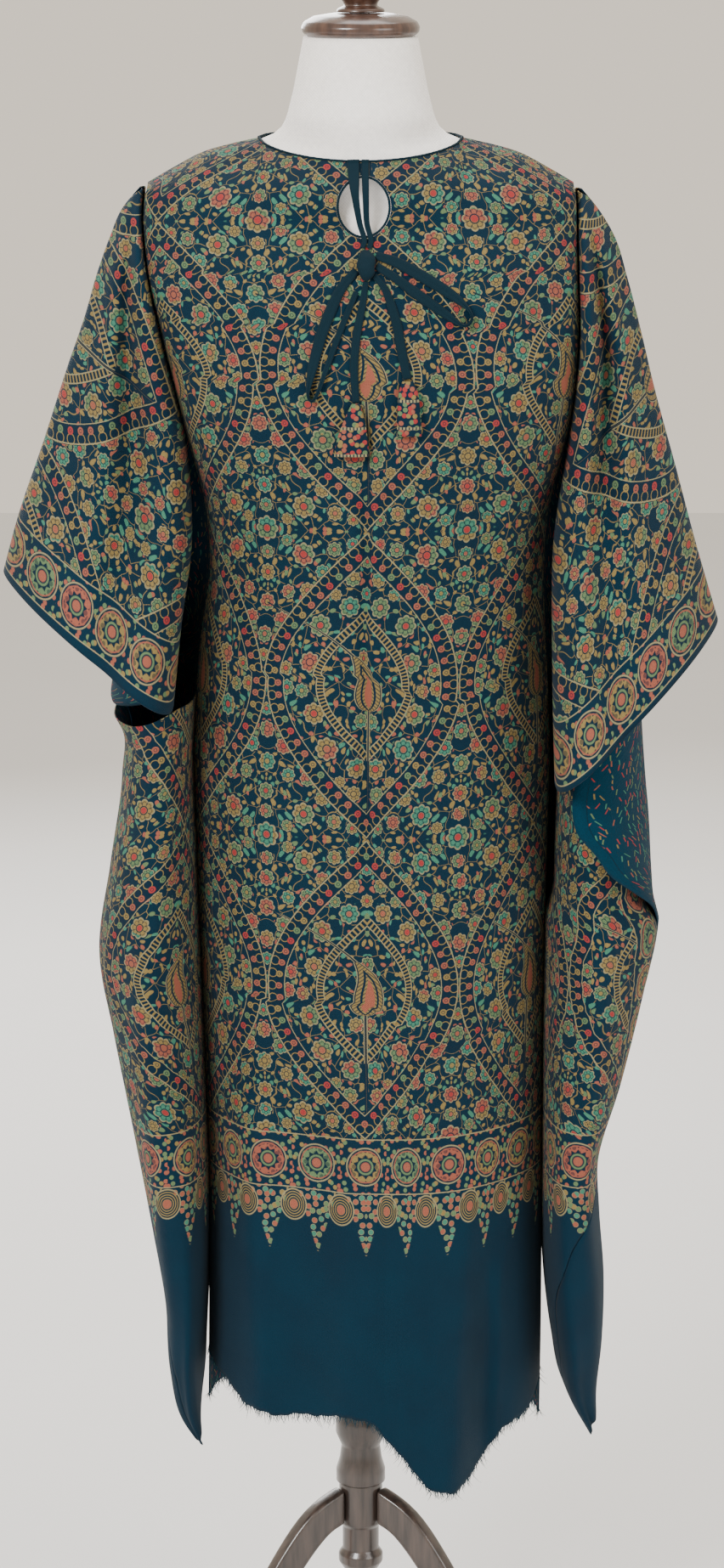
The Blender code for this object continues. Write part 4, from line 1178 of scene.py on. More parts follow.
    def back(self, columns: int = 64) -> Layer:
        """Shape the back layer of sleeve and wing."""
        side = self.side
        tip, low = side.fold[-1].height, side.rim[-1].height
        rows = []
        sleeve_heights = np.linspace(side.back_top, tip, 66)[:-1]
        mouth_heights = np.linspace(tip, low, int((tip - low) / 0.0040))[:-1]
        for heights, shape in ((sleeve_heights, self.sleeve_back_line), (mouth_heights, self.mouth_line)):
            for height in heights:
                rows.append(np.column_stack([shape(height, columns), np.full(columns, height)]))
        above = sum(1 for row in rows if row[0, 2] > tip)
        layer = self.settle(np.concatenate([np.array(rows), self.below(columns, False, low)]))
        return layer._replace(lip=(above, len(rows)))


class Tint(Enum):
    """The colours of threads and grounds, in linear light."""

    GROUND = (0.0002, 0.0118, 0.0260)
    HEM = (0.0001, 0.0158, 0.0315)
    GOLD = (0.180, 0.130, 0.046)
    CORAL = (0.225, 0.070, 0.045)
    SAGE = (0.085, 0.138, 0.066)
    MINT = (0.040, 0.150, 0.100)
    CREAM = (0.205, 0.180, 0.096)
    RED = (0.250, 0.030, 0.030)
    # The reverse's wool: its own teal, made about twice as light as the face's ground as painted light on the
    # turned-out lip.
    WOOL_PAINTED_LIGHTER = (0.0004, 0.0240, 0.0460)


class Field:
    """A value that a material's nodes work out, with the usual arithmetic."""

    def __init__(self, book: "NodeBook", socket: bpy.types.NodeSocket) -> None:
        """Hold the output socket that carries the value."""
        self.book = book
        self.socket = socket

    def __add__(self, other: "Field | float") -> "Field":
        """Add."""
        return self.book.math("ADD", self, other)

    def __sub__(self, other: "Field | float") -> "Field":
        """Subtract."""
        return self.book.math("SUBTRACT", self, other)

    def __rsub__(self, other: float) -> "Field":
        """Subtract this from a number."""
        return self.book.math("SUBTRACT", other, self)

    def __mul__(self, other: "Field | float") -> "Field":
        """Multiply."""
        return self.book.math("MULTIPLY", self, other)

    def __truediv__(self, other: "Field | float") -> "Field":
        """Divide."""
        return self.book.math("DIVIDE", self, other)

    def __abs__(self) -> "Field":
        """Drop the sign."""
        return self.book.math("ABSOLUTE", self)


class NodeBook:
    """Adds nodes to one material and hands their outputs back as fields."""

    def __init__(self, name: str, roughness: float, sheen: float = 0.0, coat: float = 0.0) -> None:
        """Start a material, with its even values set on the shader's own sockets.

        Args:
            name: The material's name.
            roughness: The surface's roughness.
            sheen: How much loose fibre catches the light.
            coat: How much varnish lies over it.
        """
        self.material = bpy.data.materials.new(name)
        self.material.use_nodes = True
        self.tree = self.material.node_tree
        self.shader = self.tree.nodes["Principled BSDF"]
        self.shader.inputs["Roughness"].default_value = roughness
        self.shader.inputs["Sheen Weight"].default_value = sheen
        self.shader.inputs["Sheen Roughness"].default_value = 0.45
        self.shader.inputs["Specular IOR Level"].default_value = 0.5 if coat else 0.12
        self.shader.inputs["Coat Weight"].default_value = coat
        self.shader.inputs["Coat Roughness"].default_value = 0.16

    def put(self, socket: bpy.types.NodeSocket, value: "Field | float | tuple") -> None:
        """Feed a field into a socket, or set the socket's own value.

        Args:
            socket: The input.
            value: A field, a number, a colour or a vector.
        """
        if isinstance(value, Field):
            self.tree.links.new(value.socket, socket)
        elif isinstance(value, Tint):
            socket.default_value = (*value.value, 1.0)
        else:
            socket.default_value = value

    def math(self, operation: str, *values: "Field | float", clamp: bool = False) -> Field:
        """Add a Math node.

        Args:
            operation: Its operation.
            values: Its inputs.
            clamp: Whether it stays from 0 to 1.

        Returns:
            Its output.
        """
        node = self.tree.nodes.new("ShaderNodeMath")
        node.operation = operation
        node.use_clamp = clamp
        for socket, value in zip(node.inputs, values):
            self.put(socket, value)
        return Field(self, node.outputs[0])

    def vector(self, operation: str, *values: "Field | tuple") -> Field:
        """Add a Vector Math node.

        Args:
            operation: Its operation.
            values: Its inputs.

        Returns:
            Its output, a number for a length or a distance.
        """
        node = self.tree.nodes.new("ShaderNodeVectorMath")
        node.operation = operation
        for socket, value in zip(node.inputs, values):
            self.put(socket, value)
        return Field(self, node.outputs["Value" if operation in ("LENGTH", "DISTANCE") else "Vector"])

    def combine(self, x: "Field | float", y: "Field | float", z: "Field | float" = 0.0) -> Field:
        """Join three numbers into a vector."""
        node = self.tree.nodes.new("ShaderNodeCombineXYZ")
        for socket, value in zip(node.inputs, (x, y, z)):
            self.put(socket, value)
        return Field(self, node.outputs[0])

    def parts(self, vector: Field) -> tuple[Field, Field, Field]:
        """Split a vector or colour into its three numbers."""
        node = self.tree.nodes.new("ShaderNodeSeparateXYZ")
        self.put(node.inputs[0], vector)
        return tuple(Field(self, socket) for socket in node.outputs)

    def flat_place(self) -> tuple[Field, Field]:
        """Read where a point lies on the flat cloth, in millimetres."""
        node = self.tree.nodes.new("ShaderNodeUVMap")
        node.uv_map = "Cloth"
        scaled = self.vector("MULTIPLY", Field(self, node.outputs[0]), (1000.0, 1000.0, 0.0))
        return self.parts(scaled)[:2]

    def object_place(self) -> Field:
        """Read where a point is on the object."""
        return Field(self, self.tree.nodes.new("ShaderNodeTexCoord").outputs["Object"])

    def noise(self, vector: Field, scale: float, detail: float = 2.0) -> Field:
        """Add a cloudy noise."""
        node = self.tree.nodes.new("ShaderNodeTexNoise")
        self.put(node.inputs["Vector"], vector)
        node.inputs["Scale"].default_value = scale
        node.inputs["Detail"].default_value = detail
        return Field(self, node.outputs[0])

    def cells(self, vector: Field, size: float) -> tuple[Field, Field]:
        """Scatter points on a plane.

        Args:
            vector: The place on the plane.
            size: The mean distance between points.

        Returns:
            The way to the nearest point, and that point's own random colour.
        """
        node = self.tree.nodes.new("ShaderNodeTexVoronoi")
        node.voronoi_dimensions = "2D"
        self.put(node.inputs["Vector"], vector)
        node.inputs["Scale"].default_value = 1.0 / size
        away = self.vector("SUBTRACT", vector, Field(self, node.outputs["Position"]))
        return away, Field(self, node.outputs["Color"])

    def edges(self, vector: Field, size: float) -> Field:
        """Measure how far a point is from the nearest line of a net of cells."""
        node = self.tree.nodes.new("ShaderNodeTexVoronoi")
        node.voronoi_dimensions = "2D"
        node.feature = "DISTANCE_TO_EDGE"
        self.put(node.inputs["Vector"], vector)
        node.inputs["Scale"].default_value = 1.0 / size
        return Field(self, node.outputs["Distance"]) * size

    def inside(self, distance: Field, soft: float = 0.35) -> Field:
        """Make a soft-edged mask of 1 where a distance is negative."""
        return self.math("MULTIPLY_ADD", distance, -1.0 / soft, 0.5, clamp=True)

    def blend(self, factor: "Field | float", low: "Field | Tint", high: "Field | Tint") -> Field:
        """Lay one colour over another.

        Args:
            factor: How much of the upper colour shows.
            low: The lower colour.
            high: The upper colour.

        Returns:
            The mixed colour.
        """
        node = self.tree.nodes.new("ShaderNodeMix")
        node.data_type = "RGBA"
        self.put(node.inputs["Factor"], factor)
        self.put(node.inputs[6], low)
        self.put(node.inputs[7], high)
        return Field(self, node.outputs[2])

    def choose(self, factor: Field, low: Field, high: Field) -> Field:
        """Pick one of two vectors."""
        node = self.tree.nodes.new("ShaderNodeMix")
        node.data_type = "VECTOR"
        self.put(node.inputs["Factor"], factor)
        self.put(node.inputs[4], low)
        self.put(node.inputs[5], high)
        return Field(self, node.outputs[1])

    def most(self, first: Field, *others: Field | float) -> Field:
        """Take the largest of several values."""
        for other in others:
            first = self.math("MAXIMUM", first, other)
        return first

    def wrap(self, place: Field, pitch: float) -> Field:
        """Measure how far a place is past the middle of its repeat."""
        return place - self.math("ROUND", place / pitch) * pitch

    def steps(self, value: Field, tints: Sequence[Tint]) -> Field:
        """Give each step of a value from 0 to 1 a thread colour."""
        node = self.tree.nodes.new("ShaderNodeValToRGB")
        node.color_ramp.interpolation = "CONSTANT"
        stops = node.color_ramp.elements
        while len(stops) < len(tints):
            stops.new(0.5)
        for k, tint in enumerate(tints):
            stops[k].position = k / len(tints)
            stops[k].color = (*tint.value, 1.0)
        self.put(node.inputs[0], value)
        return Field(self, node.outputs[0])

    def shade(self, colour: Field, light: Field) -> Field:
        """Make a colour lighter or darker by a number round 1."""
        return self.vector("MULTIPLY", colour, self.combine(light, light, light))

    def finish(self, colour: Field, height: Field, depth: float) -> bpy.types.Material:
        """Feed the shader its colour and its relief.

        Args:
            colour: The base colour.
            height: The relief, from 0 to 1.
            depth: How deep the relief is, in metres.

        Returns:
            The finished material.
        """
        bump = self.tree.nodes.new("ShaderNodeBump")
        bump.inputs["Strength"].default_value = 0.8
        bump.inputs["Distance"].default_value = depth
        self.put(bump.inputs["Height"], height)
        self.put(self.shader.inputs["Base Color"], colour)
        self.tree.links.new(bump.outputs[0], self.shader.inputs["Normal"])
        return self.material


class Flower(NamedTuple):
    """One charted flower: its place in the repeat, its size and its thread."""

    across: float
    up: float
    radius: float
    thread: float


FIELD_SHIFT = 500.0
MEDALLION_FLOWERS = table(
    Flower,
    (38.7, 50.0, 9.0, 0.25),
    (46.2, 18.9, 8.5, 0.05),
    (69.8, -3.0, 6.5, 0.25),
    (56.5, -5.0, 6.0, 0.65),
    (46.2, -23.7, 9.0, 0.45),
    (35.9, -52.8, 9.5, 0.05),
    (10.4, -68.2, 8.5, 0.25),
    (15.1, 66.3, 8.5, 0.05),
    (13.2, 89.6, 6.5, 0.85),
    (0.0, 103.7, 5.5, 0.45),
    (12.0, -89.7, 6.5, 0.65),
    (67.0, 12.8, 6.0, 0.45),
    (0.0, 77.0, 5.5, 0.25),
    (24.0, -80.0, 5.0, 0.85),
    (27.0, 76.0, 5.0, 0.65),
    (-1.0, 23.0, 7.0, 0.25),
    (6.0, -29.0, 6.5, 0.85),
)
FIELD_FLOWERS = table(
    Flower,
    (0.0, 0.0, 10.5, 0.45),
    (0.0, 20.0, 6.0, 0.05),
    (0.0, 37.0, 7.0, 0.25),
    (0.0, 62.0, 7.5, 0.65),
    (0.0, 89.0, 7.0, 0.05),
    (0.0, 106.0, 5.5, 0.45),
    (34.0, 20.0, 9.5, 0.25),
    (19.0, 9.0, 5.0, 0.65),
    (50.0, 34.0, 6.0, 0.65),
    (37.0, 50.0, 6.5, 0.05),
    (15.0, 76.0, 7.0, 0.25),
    (20.0, 52.0, 6.0, 0.85),
    (60.0, 15.0, 6.0, 0.05),
    (75.0, 10.0, 5.0, 0.45),
)


@dataclass(frozen=True)
class Embroidery:
    """The face of the shawl: ogee medallions, flowers, borders and a plain ground below.

    Sizes are millimetres on the flat shawl.
    """

    across: float = 177.0
    down: float = 257.0
    first: float = 241.0
    border_top: float = 883.0
    border_low: float = 930.0
    tips: float = 984.0
    side_in: float = 512.0
    side_out: float = 554.0
    end_pitch: float = 44.0
    side_pitch: float = 38.0
    roundel_radius: float = 17.0
    ladder_half: float = 41.0
    ladder_tall: float = 120.0
    bud_pitch: float = 11.5

    def repeat(self, book: NodeBook, u: Field, v: Field) -> tuple[Field, Field]:
        """Find the place inside the repeat.

        Args:
            book: The material's nodes.
            u: The place across the shawl.
            v: The place down it.

        Returns:
            The place across from the nearest medallion's axis, and above its middle.
        """
        row = book.math("ROUND", (v - self.first) / self.down)
        return book.wrap(u, self.across), row * self.down + self.first - v

    def ogee(self, book: NodeBook, x: Field, y: Field) -> tuple[Field, Field]:
        """Measure where a point is beside the medallion's outline.

        Args:
            book: The material's nodes.
            x: The place across from the medallion's axis, without its sign.
            y: The place above its middle.

        Returns:
            The way to the outline, negative inside it, and the height of the nearest point on it.
        """
        swing = book.math("COSINE", y * (math.pi / self.down))
        rise = book.math("SINE", y * (math.pi / self.down)) * (self.across * math.pi / self.down / 2)
        slope = book.math("SQRT", rise * rise + 1.0)
        way = (x - swing * (self.across / 2)) / slope
        return way, y - way * rise / slope

    def nearest_flower(self, book: NodeBook, spot: Field) -> tuple[Field, Field]:
        """Find the charted flower that a point belongs to.

        Args:
            book: The material's nodes.
            spot: The place in the repeat.

        Returns:
            The distance in flower radii, and the way to the flower with its thread as third number.
        """
        best, way = None, None
        charted = [*MEDALLION_FLOWERS, *(f._replace(across=f.across + FIELD_SHIFT) for f in FIELD_FLOWERS)]
        for flower in charted:
            reach = book.vector("DISTANCE", spot, (flower.across, flower.up, 0.0)) / flower.radius
            here = book.vector("SUBTRACT", spot, (flower.across, flower.up, -flower.thread))
            if best is None:
                best, way = reach, here
                continue
            way = book.choose(book.math("LESS_THAN", reach, best), way, here)
            best = book.math("MINIMUM", best, reach)
        return best, way

    def flowers(self, book: NodeBook, spot: Field, mood: Field, base: Field) -> tuple[Field, Field]:
        """Paint the charted flowers, with vines and small leaves between them.

        Args:
            book: The material's nodes.
            spot: The place in the repeat.
            mood: A slow noise that shifts the threads' colours from place to place.
            base: The colour below.

        Returns:
            The colour, and how much of it is thread.
        """
        reach, way = self.nearest_flower(book, spot)
        dx, dy, thread = book.parts(way)
        angle = book.math("ARCTAN2", dy, dx)
        lobes = abs(book.math("COSINE", angle * 4.0))
        rim = book.math("MULTIPLY_ADD", lobes, 0.20, 0.78)
        petals = book.inside(reach - rim, 0.12)
        drift = book.noise(spot, 0.055, 1.0)
        bent = book.vector("ADD", spot, book.combine(drift * 16.0, drift * -13.0))
        vine = book.inside(book.edges(bent, 14.0) - 0.24, 0.3)
        way_leaf, dye = book.cells(bent, 7.4)
        lx, ly, _ = book.parts(way_leaf)
        pick, turn, _ = book.parts(dye)
        lean = book.math("MULTIPLY_ADD", turn, 1.3, 0.6)
        leaf_size = book.math("SQRT", lx * lx * lean + ly * ly * (2.3 - lean))
        leaf = book.inside(leaf_size - 2.05, 0.5) * book.inside(1.12 - reach, 0.1)
        leaf_hue = book.steps(pick, (Tint.SAGE, Tint.GOLD, Tint.MINT, Tint.GOLD, Tint.CORAL))
        colour = book.blend(vine * 0.9, base, Tint.GOLD)
        colour = book.blend(leaf, colour, leaf_hue)
        zone = book.math("FRACT", thread * 0.55 + book.math("MULTIPLY_ADD", mood, 2.6, 1.0))
        petal_hue = book.steps(zone, (Tint.GOLD, Tint.CORAL, Tint.SAGE, Tint.MINT, Tint.GOLD, Tint.SAGE))
        halo = book.inside(reach - 1.10, 0.08)
        colour = book.blend(halo, colour, base)
        colour = book.blend(petals, colour, petal_hue)
        outline = book.inside(abs(reach - rim) - 0.055, 0.06)
        colour = book.blend(outline, colour, Tint.CREAM)
        gaps = book.inside(lobes - 0.24, 0.10) * book.inside(0.42 - reach, 0.08) * petals
        colour = book.blend(gaps * 0.85, colour, Tint.GROUND)
        inner = book.inside(abs(reach - rim + 0.20) - 0.035, 0.05) * petals
        colour = book.blend(inner * 0.7, colour, Tint.GROUND)
        ring = book.inside(abs(reach - 0.36) - 0.05, 0.06)
        colour = book.blend(ring, colour, Tint.GROUND)
        heart = book.inside(reach - 0.28, 0.08)
        heart_hue = book.steps(book.math("FRACT", thread + 0.45), (Tint.GOLD, Tint.CORAL, Tint.RED))
        colour = book.blend(heart, colour, heart_hue)
        cover = book.most(vine, leaf, petals)
        return colour, cover

    def ladder(self, book: NodeBook, x: Field, y: Field, base: Field) -> tuple[Field, Field]:
        """Paint the pointed oval in the middle of a medallion, a ladder between double lines.

        Args:
            book: The material's nodes.
            x: The place across from the medallion's axis, with its sign.
            y: The place above its middle.
            base: The colour below.

        Returns:
            The colour, and how much of it is thread.
        """
        swing = book.math("COSINE", y * (math.pi / self.ladder_tall))
        steep = self.ladder_half * math.pi / self.ladder_tall
        rise = book.math("SINE", y * (math.pi / self.ladder_tall)) * steep
        slope = book.math("SQRT", rise * rise + 1.0)
        wide = abs(x)
        way = (wide - swing * self.ladder_half) / slope
        foot = y - way * rise / slope
        near = book.inside(abs(y) - 62.0, 1.0)
        band = book.inside(abs(way) - 3.6, 0.4) * near
        rails = book.inside(abs(abs(way) - 3.1) - 0.50, 0.25) * near
        rung = book.inside(book.math("PINGPONG", foot * 1.25, 1.75) - 0.75, 0.3) * band
        bend = y - 2.0
        tip = bend + abs(bend)
        across = x - 2.0 + tip * tip * 0.0055
        taper = book.math("SQRT", book.most(1.0 - bend * bend * (1.0 / 529.0), 0.0))
        drop = abs(across) - taper * (11.0 - bend * 0.30)
        leaf = book.inside(drop, 0.5)
        core = book.inside(abs(drop + 5.0) - 1.0, 0.4)
        veins = book.inside(book.math("PINGPONG", y + wide * 0.7, 1.6) - 0.6, 0.4)
        colour = book.blend(band, base, Tint.GROUND)
        colour = book.blend(rung, colour, Tint.GOLD)
        colour = book.blend(rails, colour, Tint.CREAM)
        colour = book.blend(book.inside(drop - 1.8, 0.3), colour, Tint.GROUND)
        colour = book.blend(book.inside(abs(drop - 1.4) - 0.4, 0.3) * near, colour, Tint.CREAM)
        colour = book.blend(leaf, colour, Tint.GOLD)
        colour = book.blend(leaf * veins * 0.7, colour, Tint.GROUND)
        colour = book.blend(core, colour, Tint.GROUND)
        colour = book.blend(book.inside(drop + 8.0, 0.5), colour, Tint.CORAL)
        return colour, book.most(rails, leaf, rung)

    def buds(self, book: NodeBook, edge: Field, y: Field, base: Field) -> tuple[Field, Field]:
        """Paint the row of buds on looped stems inside the medallion's outline, and the outline.

        Args:
            book: The material's nodes.
            edge: The way to the outline.
            y: The height of the nearest point on it.
            base: The colour below.

        Returns:
            The colour, and how much of it is thread.
        """
        along = y * 1.237 - book.math("SINE", y * (2 * math.pi / self.down)) * 9.7
        count = book.math("ROUND", along / self.bud_pitch)
        off = along - count * self.bud_pitch
        bud_at = book.combine(off, edge + 10.5)
        bud_size = book.vector("LENGTH", bud_at)
        bud = book.inside(bud_size - 3.1, 0.4)
        stem_way = book.vector("LENGTH", book.combine(off, edge + 4.4))
        stem = book.inside(abs(stem_way - 3.9) - 0.42, 0.3)
        clear = book.inside(abs(edge + 8.0) - 7.0, 0.6)
        pick = book.math("FRACT", count * 0.382 + 20.0)
        hue = book.steps(pick, (Tint.CORAL, Tint.GOLD, Tint.RED, Tint.CORAL, Tint.SAGE))
        line = book.inside(abs(edge + 1.0) - 0.55, 0.3)
        twin = book.inside(abs(edge + 15.6) - 0.35, 0.3)
        colour = book.blend(clear, base, Tint.GROUND)
        colour = book.blend(stem, colour, Tint.GOLD)
        colour = book.blend(bud, colour, hue)
        colour = book.blend(book.inside(abs(bud_size - 1.3) - 0.3, 0.3) * 0.8, colour, Tint.GROUND)
        colour = book.blend(book.most(line, twin), colour, Tint.CREAM)
        cover = book.most(bud, stem, line)
        return colour, cover

    def roundel(self, book: NodeBook, place: Field, turn: Field, base: Field) -> tuple[Field, Field]:
        """Paint a round flower of rings and petals for a border.

        Args:
            book: The material's nodes.
            place: The way from the roundel's middle.
            turn: The roundel's number in its row.
            base: The colour below.

        Returns:
            The colour, and how much of it is thread.
        """
        far = book.vector("LENGTH", place) / self.roundel_radius
        dx, dy, _ = book.parts(place)
        lobes = abs(book.math("COSINE", book.math("ARCTAN2", dy, dx) * 5.0))
        rim = book.inside(abs(far - 0.95) - 0.035, 0.04)
        petal = book.inside(abs(far - 0.67) - book.math("MULTIPLY_ADD", lobes, 0.16, 0.03), 0.06)
        inner = book.inside(abs(far - 0.36) - 0.05, 0.05)
        heart = book.inside(far - 0.24, 0.06)
        way, dye = book.cells(place, 6.2)
        filler = book.inside(book.vector("LENGTH", way) - 2.0, 0.5)
        hue = book.steps(book.parts(dye)[0], (Tint.GOLD, Tint.CORAL, Tint.SAGE))
        pick = book.math("FRACT", turn * 0.382 + 20.1)
        petal_hue = book.steps(pick, (Tint.GOLD, Tint.SAGE, Tint.GOLD, Tint.CORAL))
        colour = book.blend(filler, base, hue)
        colour = book.blend(book.inside(far - 1.0, 0.05), colour, Tint.GROUND)
        colour = book.blend(petal, colour, petal_hue)
        colour = book.blend(petal * filler * 0.6, colour, Tint.GROUND)
        colour = book.blend(book.inside(abs(far - 0.80) - 0.03, 0.04), colour, Tint.CORAL)
        colour = book.blend(inner, colour, Tint.SAGE)
        colour = book.blend(heart, colour, Tint.CORAL)
        colour = book.blend(rim, colour, Tint.CREAM)
        cover = book.most(rim, petal, inner, heart)
        return colour, cover

    def border(self, book: NodeBook, u: Field, v: Field, base: Field) -> tuple[Field, Field, Field]:
        """Paint the borders along the shawl's sides and end.

        Args:
            book: The material's nodes.
            u: The place across the shawl, without its sign.
            v: The place down it.
            base: The colour below.

        Returns:
            The colour, how much of it is thread, and where the borders are.
        """
        side_middle = (self.side_in + self.side_out) / 2
        end_middle = (self.border_top + self.border_low) / 2
        at_side = book.math("GREATER_THAN", u, self.side_in)
        side_spot = book.combine(book.wrap(v, self.side_pitch), u - side_middle)
        end_spot = book.combine(book.wrap(u, self.end_pitch), v - end_middle)
        spot = book.choose(at_side, end_spot, side_spot)
        at_end = book.math("ROUND", u / self.end_pitch)
        turn = at_end * (1.0 - at_side) + book.math("ROUND", v / self.side_pitch) * at_side
        colour, cover = self.roundel(book, spot, turn, base)
        in_end = book.inside(abs(v - end_middle) - (self.border_low - self.border_top) / 2, 0.5)
        in_side = book.inside(abs(u - side_middle) - (self.side_out - self.side_in) / 2, 0.5)
        zone = book.most(in_end, in_side * book.inside(v - self.tips, 1.0))
        way = abs(abs(v - end_middle) - (self.border_low - self.border_top) / 2)
        way_side = abs(abs(u - side_middle) - (self.side_out - self.side_in) / 2)
        way = book.math("MINIMUM", way, way_side + book.math("GREATER_THAN", v, self.tips) * 50.0)
        lines = book.inside(way - 0.5, 0.4)
        colour = book.blend(lines, colour, Tint.CREAM)
        return colour, book.most(cover, lines), book.most(zone, lines)

    def pendants(self, book: NodeBook, u: Field, v: Field, base: Field) -> tuple[Field, Field]:
        """Paint the hanging sprays and drops below the end border.

        Args:
            book: The material's nodes.
            u: The place across the shawl, without its sign.
            v: The place down it.
            base: The colour below.

        Returns:
            The colour, and how much of it is thread.
        """
        below = v - self.border_low
        spray_x = book.wrap(u, self.end_pitch)
        narrow = abs(spray_x) + below * 0.32 - 18.0
        spray = book.inside(narrow, 0.8) * book.inside(v - self.tips, 1.0) * book.inside(below * -1.0, 0.5)
        way, dye = book.cells(book.combine(spray_x, v), 6.5)
        pick = book.parts(dye)[0]
        dot_size = book.vector("LENGTH", way)
        dot = book.inside(dot_size - 2.5, 0.5) * spray
        hue = book.steps(pick, (Tint.GOLD, Tint.CORAL, Tint.MINT, Tint.SAGE))
        drop_x = book.wrap(u + self.end_pitch / 2, self.end_pitch)
        drop = book.vector("LENGTH", book.combine(drop_x / 12.0, (v - 945.0) / 14.0))
        rings = book.inside(abs(book.math("PINGPONG", drop - 0.05, 0.16) - 0.08) - 0.035, 0.03)
        in_drop = book.inside(drop - 1.0, 0.06)
        colour = book.blend(dot, base, hue)
        colour = book.blend(book.inside(abs(dot_size - 2.5) - 0.3, 0.3) * spray, colour, Tint.CREAM)
        colour = book.blend(in_drop * rings, colour, Tint.GOLD)
        colour = book.blend(book.inside(abs(drop - 0.96) - 0.04, 0.05), colour, Tint.CREAM)
        colour = book.blend(book.inside(drop - 0.30, 0.06), colour, Tint.CORAL)
        return colour, book.most(dot, in_drop)

    def material(self) -> bpy.types.Material:
        """Make the embroidered face.

        Returns:
            The finished material.
        """
        book = NodeBook("embroidered_face", roughness=0.78, sheen=0.03)
        u, v = book.flat_place()
        wide = abs(u)
        flat = book.combine(u, v)
        weave = book.math("SINE", (u + v) * 5.2) * book.math("SINE", (u - v) * 5.2)
        cloud = book.noise(flat, 0.020, 2.0)
        mood = book.noise(flat, 0.011, 0.0)
        fuzz = book.noise(flat, 0.9, 2.0)
        ground = book.blend(cloud, Tint.GROUND, Tint.HEM)
        x, y = self.repeat(book, u, v)
        half = abs(x)
        edge, foot = self.ogee(book, half, y)
        between = book.combine(FIELD_SHIFT + self.across / 2 - half, self.down / 2 - abs(y))
        outside = book.math("GREATER_THAN", edge, 0.0)
        spot = book.choose(outside, book.combine(half, y), between)
        colour, cover = self.flowers(book, spot, mood, ground)
        colour, rails = self.ladder(book, x, y, colour)
        cover = book.most(cover, rails)
        colour, row = self.buds(book, edge, foot, colour)
        cover = book.most(cover, row)
        middle = book.inside(v - self.border_top, 0.6) * book.inside(wide - self.side_in, 0.6)
        colour = book.blend(middle, ground, colour)
        cover = cover * middle
        hung, drops = self.pendants(book, wide, v, ground)
        below = book.math("GREATER_THAN", v, self.border_low) * book.inside(wide - self.side_in, 0.6)
        colour = book.blend(below * drops, colour, hung)
        cover = book.most(cover, below * drops)
        trim, beads, zone = self.border(book, wide, v, ground)
        colour = book.blend(zone, colour, trim)
        cover = book.most(cover * (1.0 - zone), beads * zone)
        stitch = book.math("SINE", (u * 0.55 + v * 0.83) * 7.4) * 0.5
        # The stitch rows lighten and darken the threads as painted shade of the raised stitches; the fuzz and
        # cloud are uneven tone.
        light = cover * stitch * 0.35 + fuzz * 0.45 + (cloud * 0.25 + 0.72)
        raised = book.most(rails, row) * middle
        relief = raised * 0.5 + stitch * middle * 0.25 + weave * 0.10 + fuzz * 0.30
        return book.finish(book.shade(colour, light), relief, 0.0011)


@dataclass(frozen=True)
class ReverseWool:
    """The reverse of the shawl: plain wool, lighter than the face as painted light, with a few carried
    threads, and a turned hem with painted shade along its fold.
    """

    band: float = 548.0

    def material(self) -> bpy.types.Material:
        """Make the reverse.

        Returns:
            The finished material.
        """
        book = NodeBook("wool_reverse", roughness=0.88, sheen=0.02)
        u, v = book.flat_place()
        flat = book.combine(u, v)
        fuzz = book.noise(flat, 0.7, 3.0)
        twill = book.math("SINE", (u + v) * 3.9)
        way, dye = book.cells(book.combine(u, v * 1.7), 8.5)
        dx, dy, _ = book.parts(way)
        pick, turn, _ = book.parts(dye)
        lean = book.math("MULTIPLY_ADD", turn, 1.6, -0.8)
        dash = book.inside(abs(dx + dy * lean) - 0.80, 0.4) * book.inside(abs(dy) - 3.9, 0.6)
        hue = book.steps(pick, (Tint.WOOL_PAINTED_LIGHTER, Tint.RED, Tint.MINT, Tint.CORAL, Tint.WOOL_PAINTED_LIGHTER, Tint.GOLD, Tint.SAGE))
        plain = book.inside(abs(u) - self.band, 0.5)
        colour = book.blend(dash * plain, Tint.WOOL_PAINTED_LIGHTER, hue)
        # A thin line along the hem's fold is darkened as painted shade.
        fold = book.inside(abs(abs(u) - self.band) - 0.5, 0.5)
        light = book.math("MULTIPLY_ADD", fuzz, 0.7, 0.62) - fold * 0.35
        relief = twill * 0.12 + fuzz * 0.3 + dash * 0.4 + (1.0 - plain) * 0.5
        return book.finish(book.shade(colour, light), relief, 0.0008)


class Wood(Enum):
    """The varnished woods, by their dark and light grain."""

    CAP = ((0.028, 0.011, 0.007), (0.074, 0.034, 0.021))
    STAND = ((0.020, 0.014, 0.012), (0.062, 0.042, 0.034))


@dataclass(frozen=True)
class VarnishedWood:
    """A dark turned wood under varnish."""

    wood: Wood

    def material(self) -> bpy.types.Material:
        """Make the wood.

        Returns:
            The finished material.
        """
        book = NodeBook(f"varnished_{self.wood.name.lower()}", roughness=0.32, coat=0.55)
        place = book.object_place()
        drawn = book.vector("MULTIPLY", place, (60.0, 60.0, 7.0))
        grain = book.noise(drawn, 3.0, 6.0)
        pores = book.noise(book.vector("MULTIPLY", place, (400.0, 400.0, 30.0)), 2.0, 2.0)
        node = book.tree.nodes.new("ShaderNodeValToRGB")
        dark, light = self.wood.value
        node.color_ramp.elements[0].position = 0.34
        node.color_ramp.elements[0].color = (*dark, 1.0)
        node.color_ramp.elements[1].position = 0.68
        node.color_ramp.elements[1].color = (*light, 1.0)
        book.put(node.inputs[0], grain)
        return book.finish(Field(book, node.outputs[0]), grain * 0.3 + pores * 0.3, 0.0003)


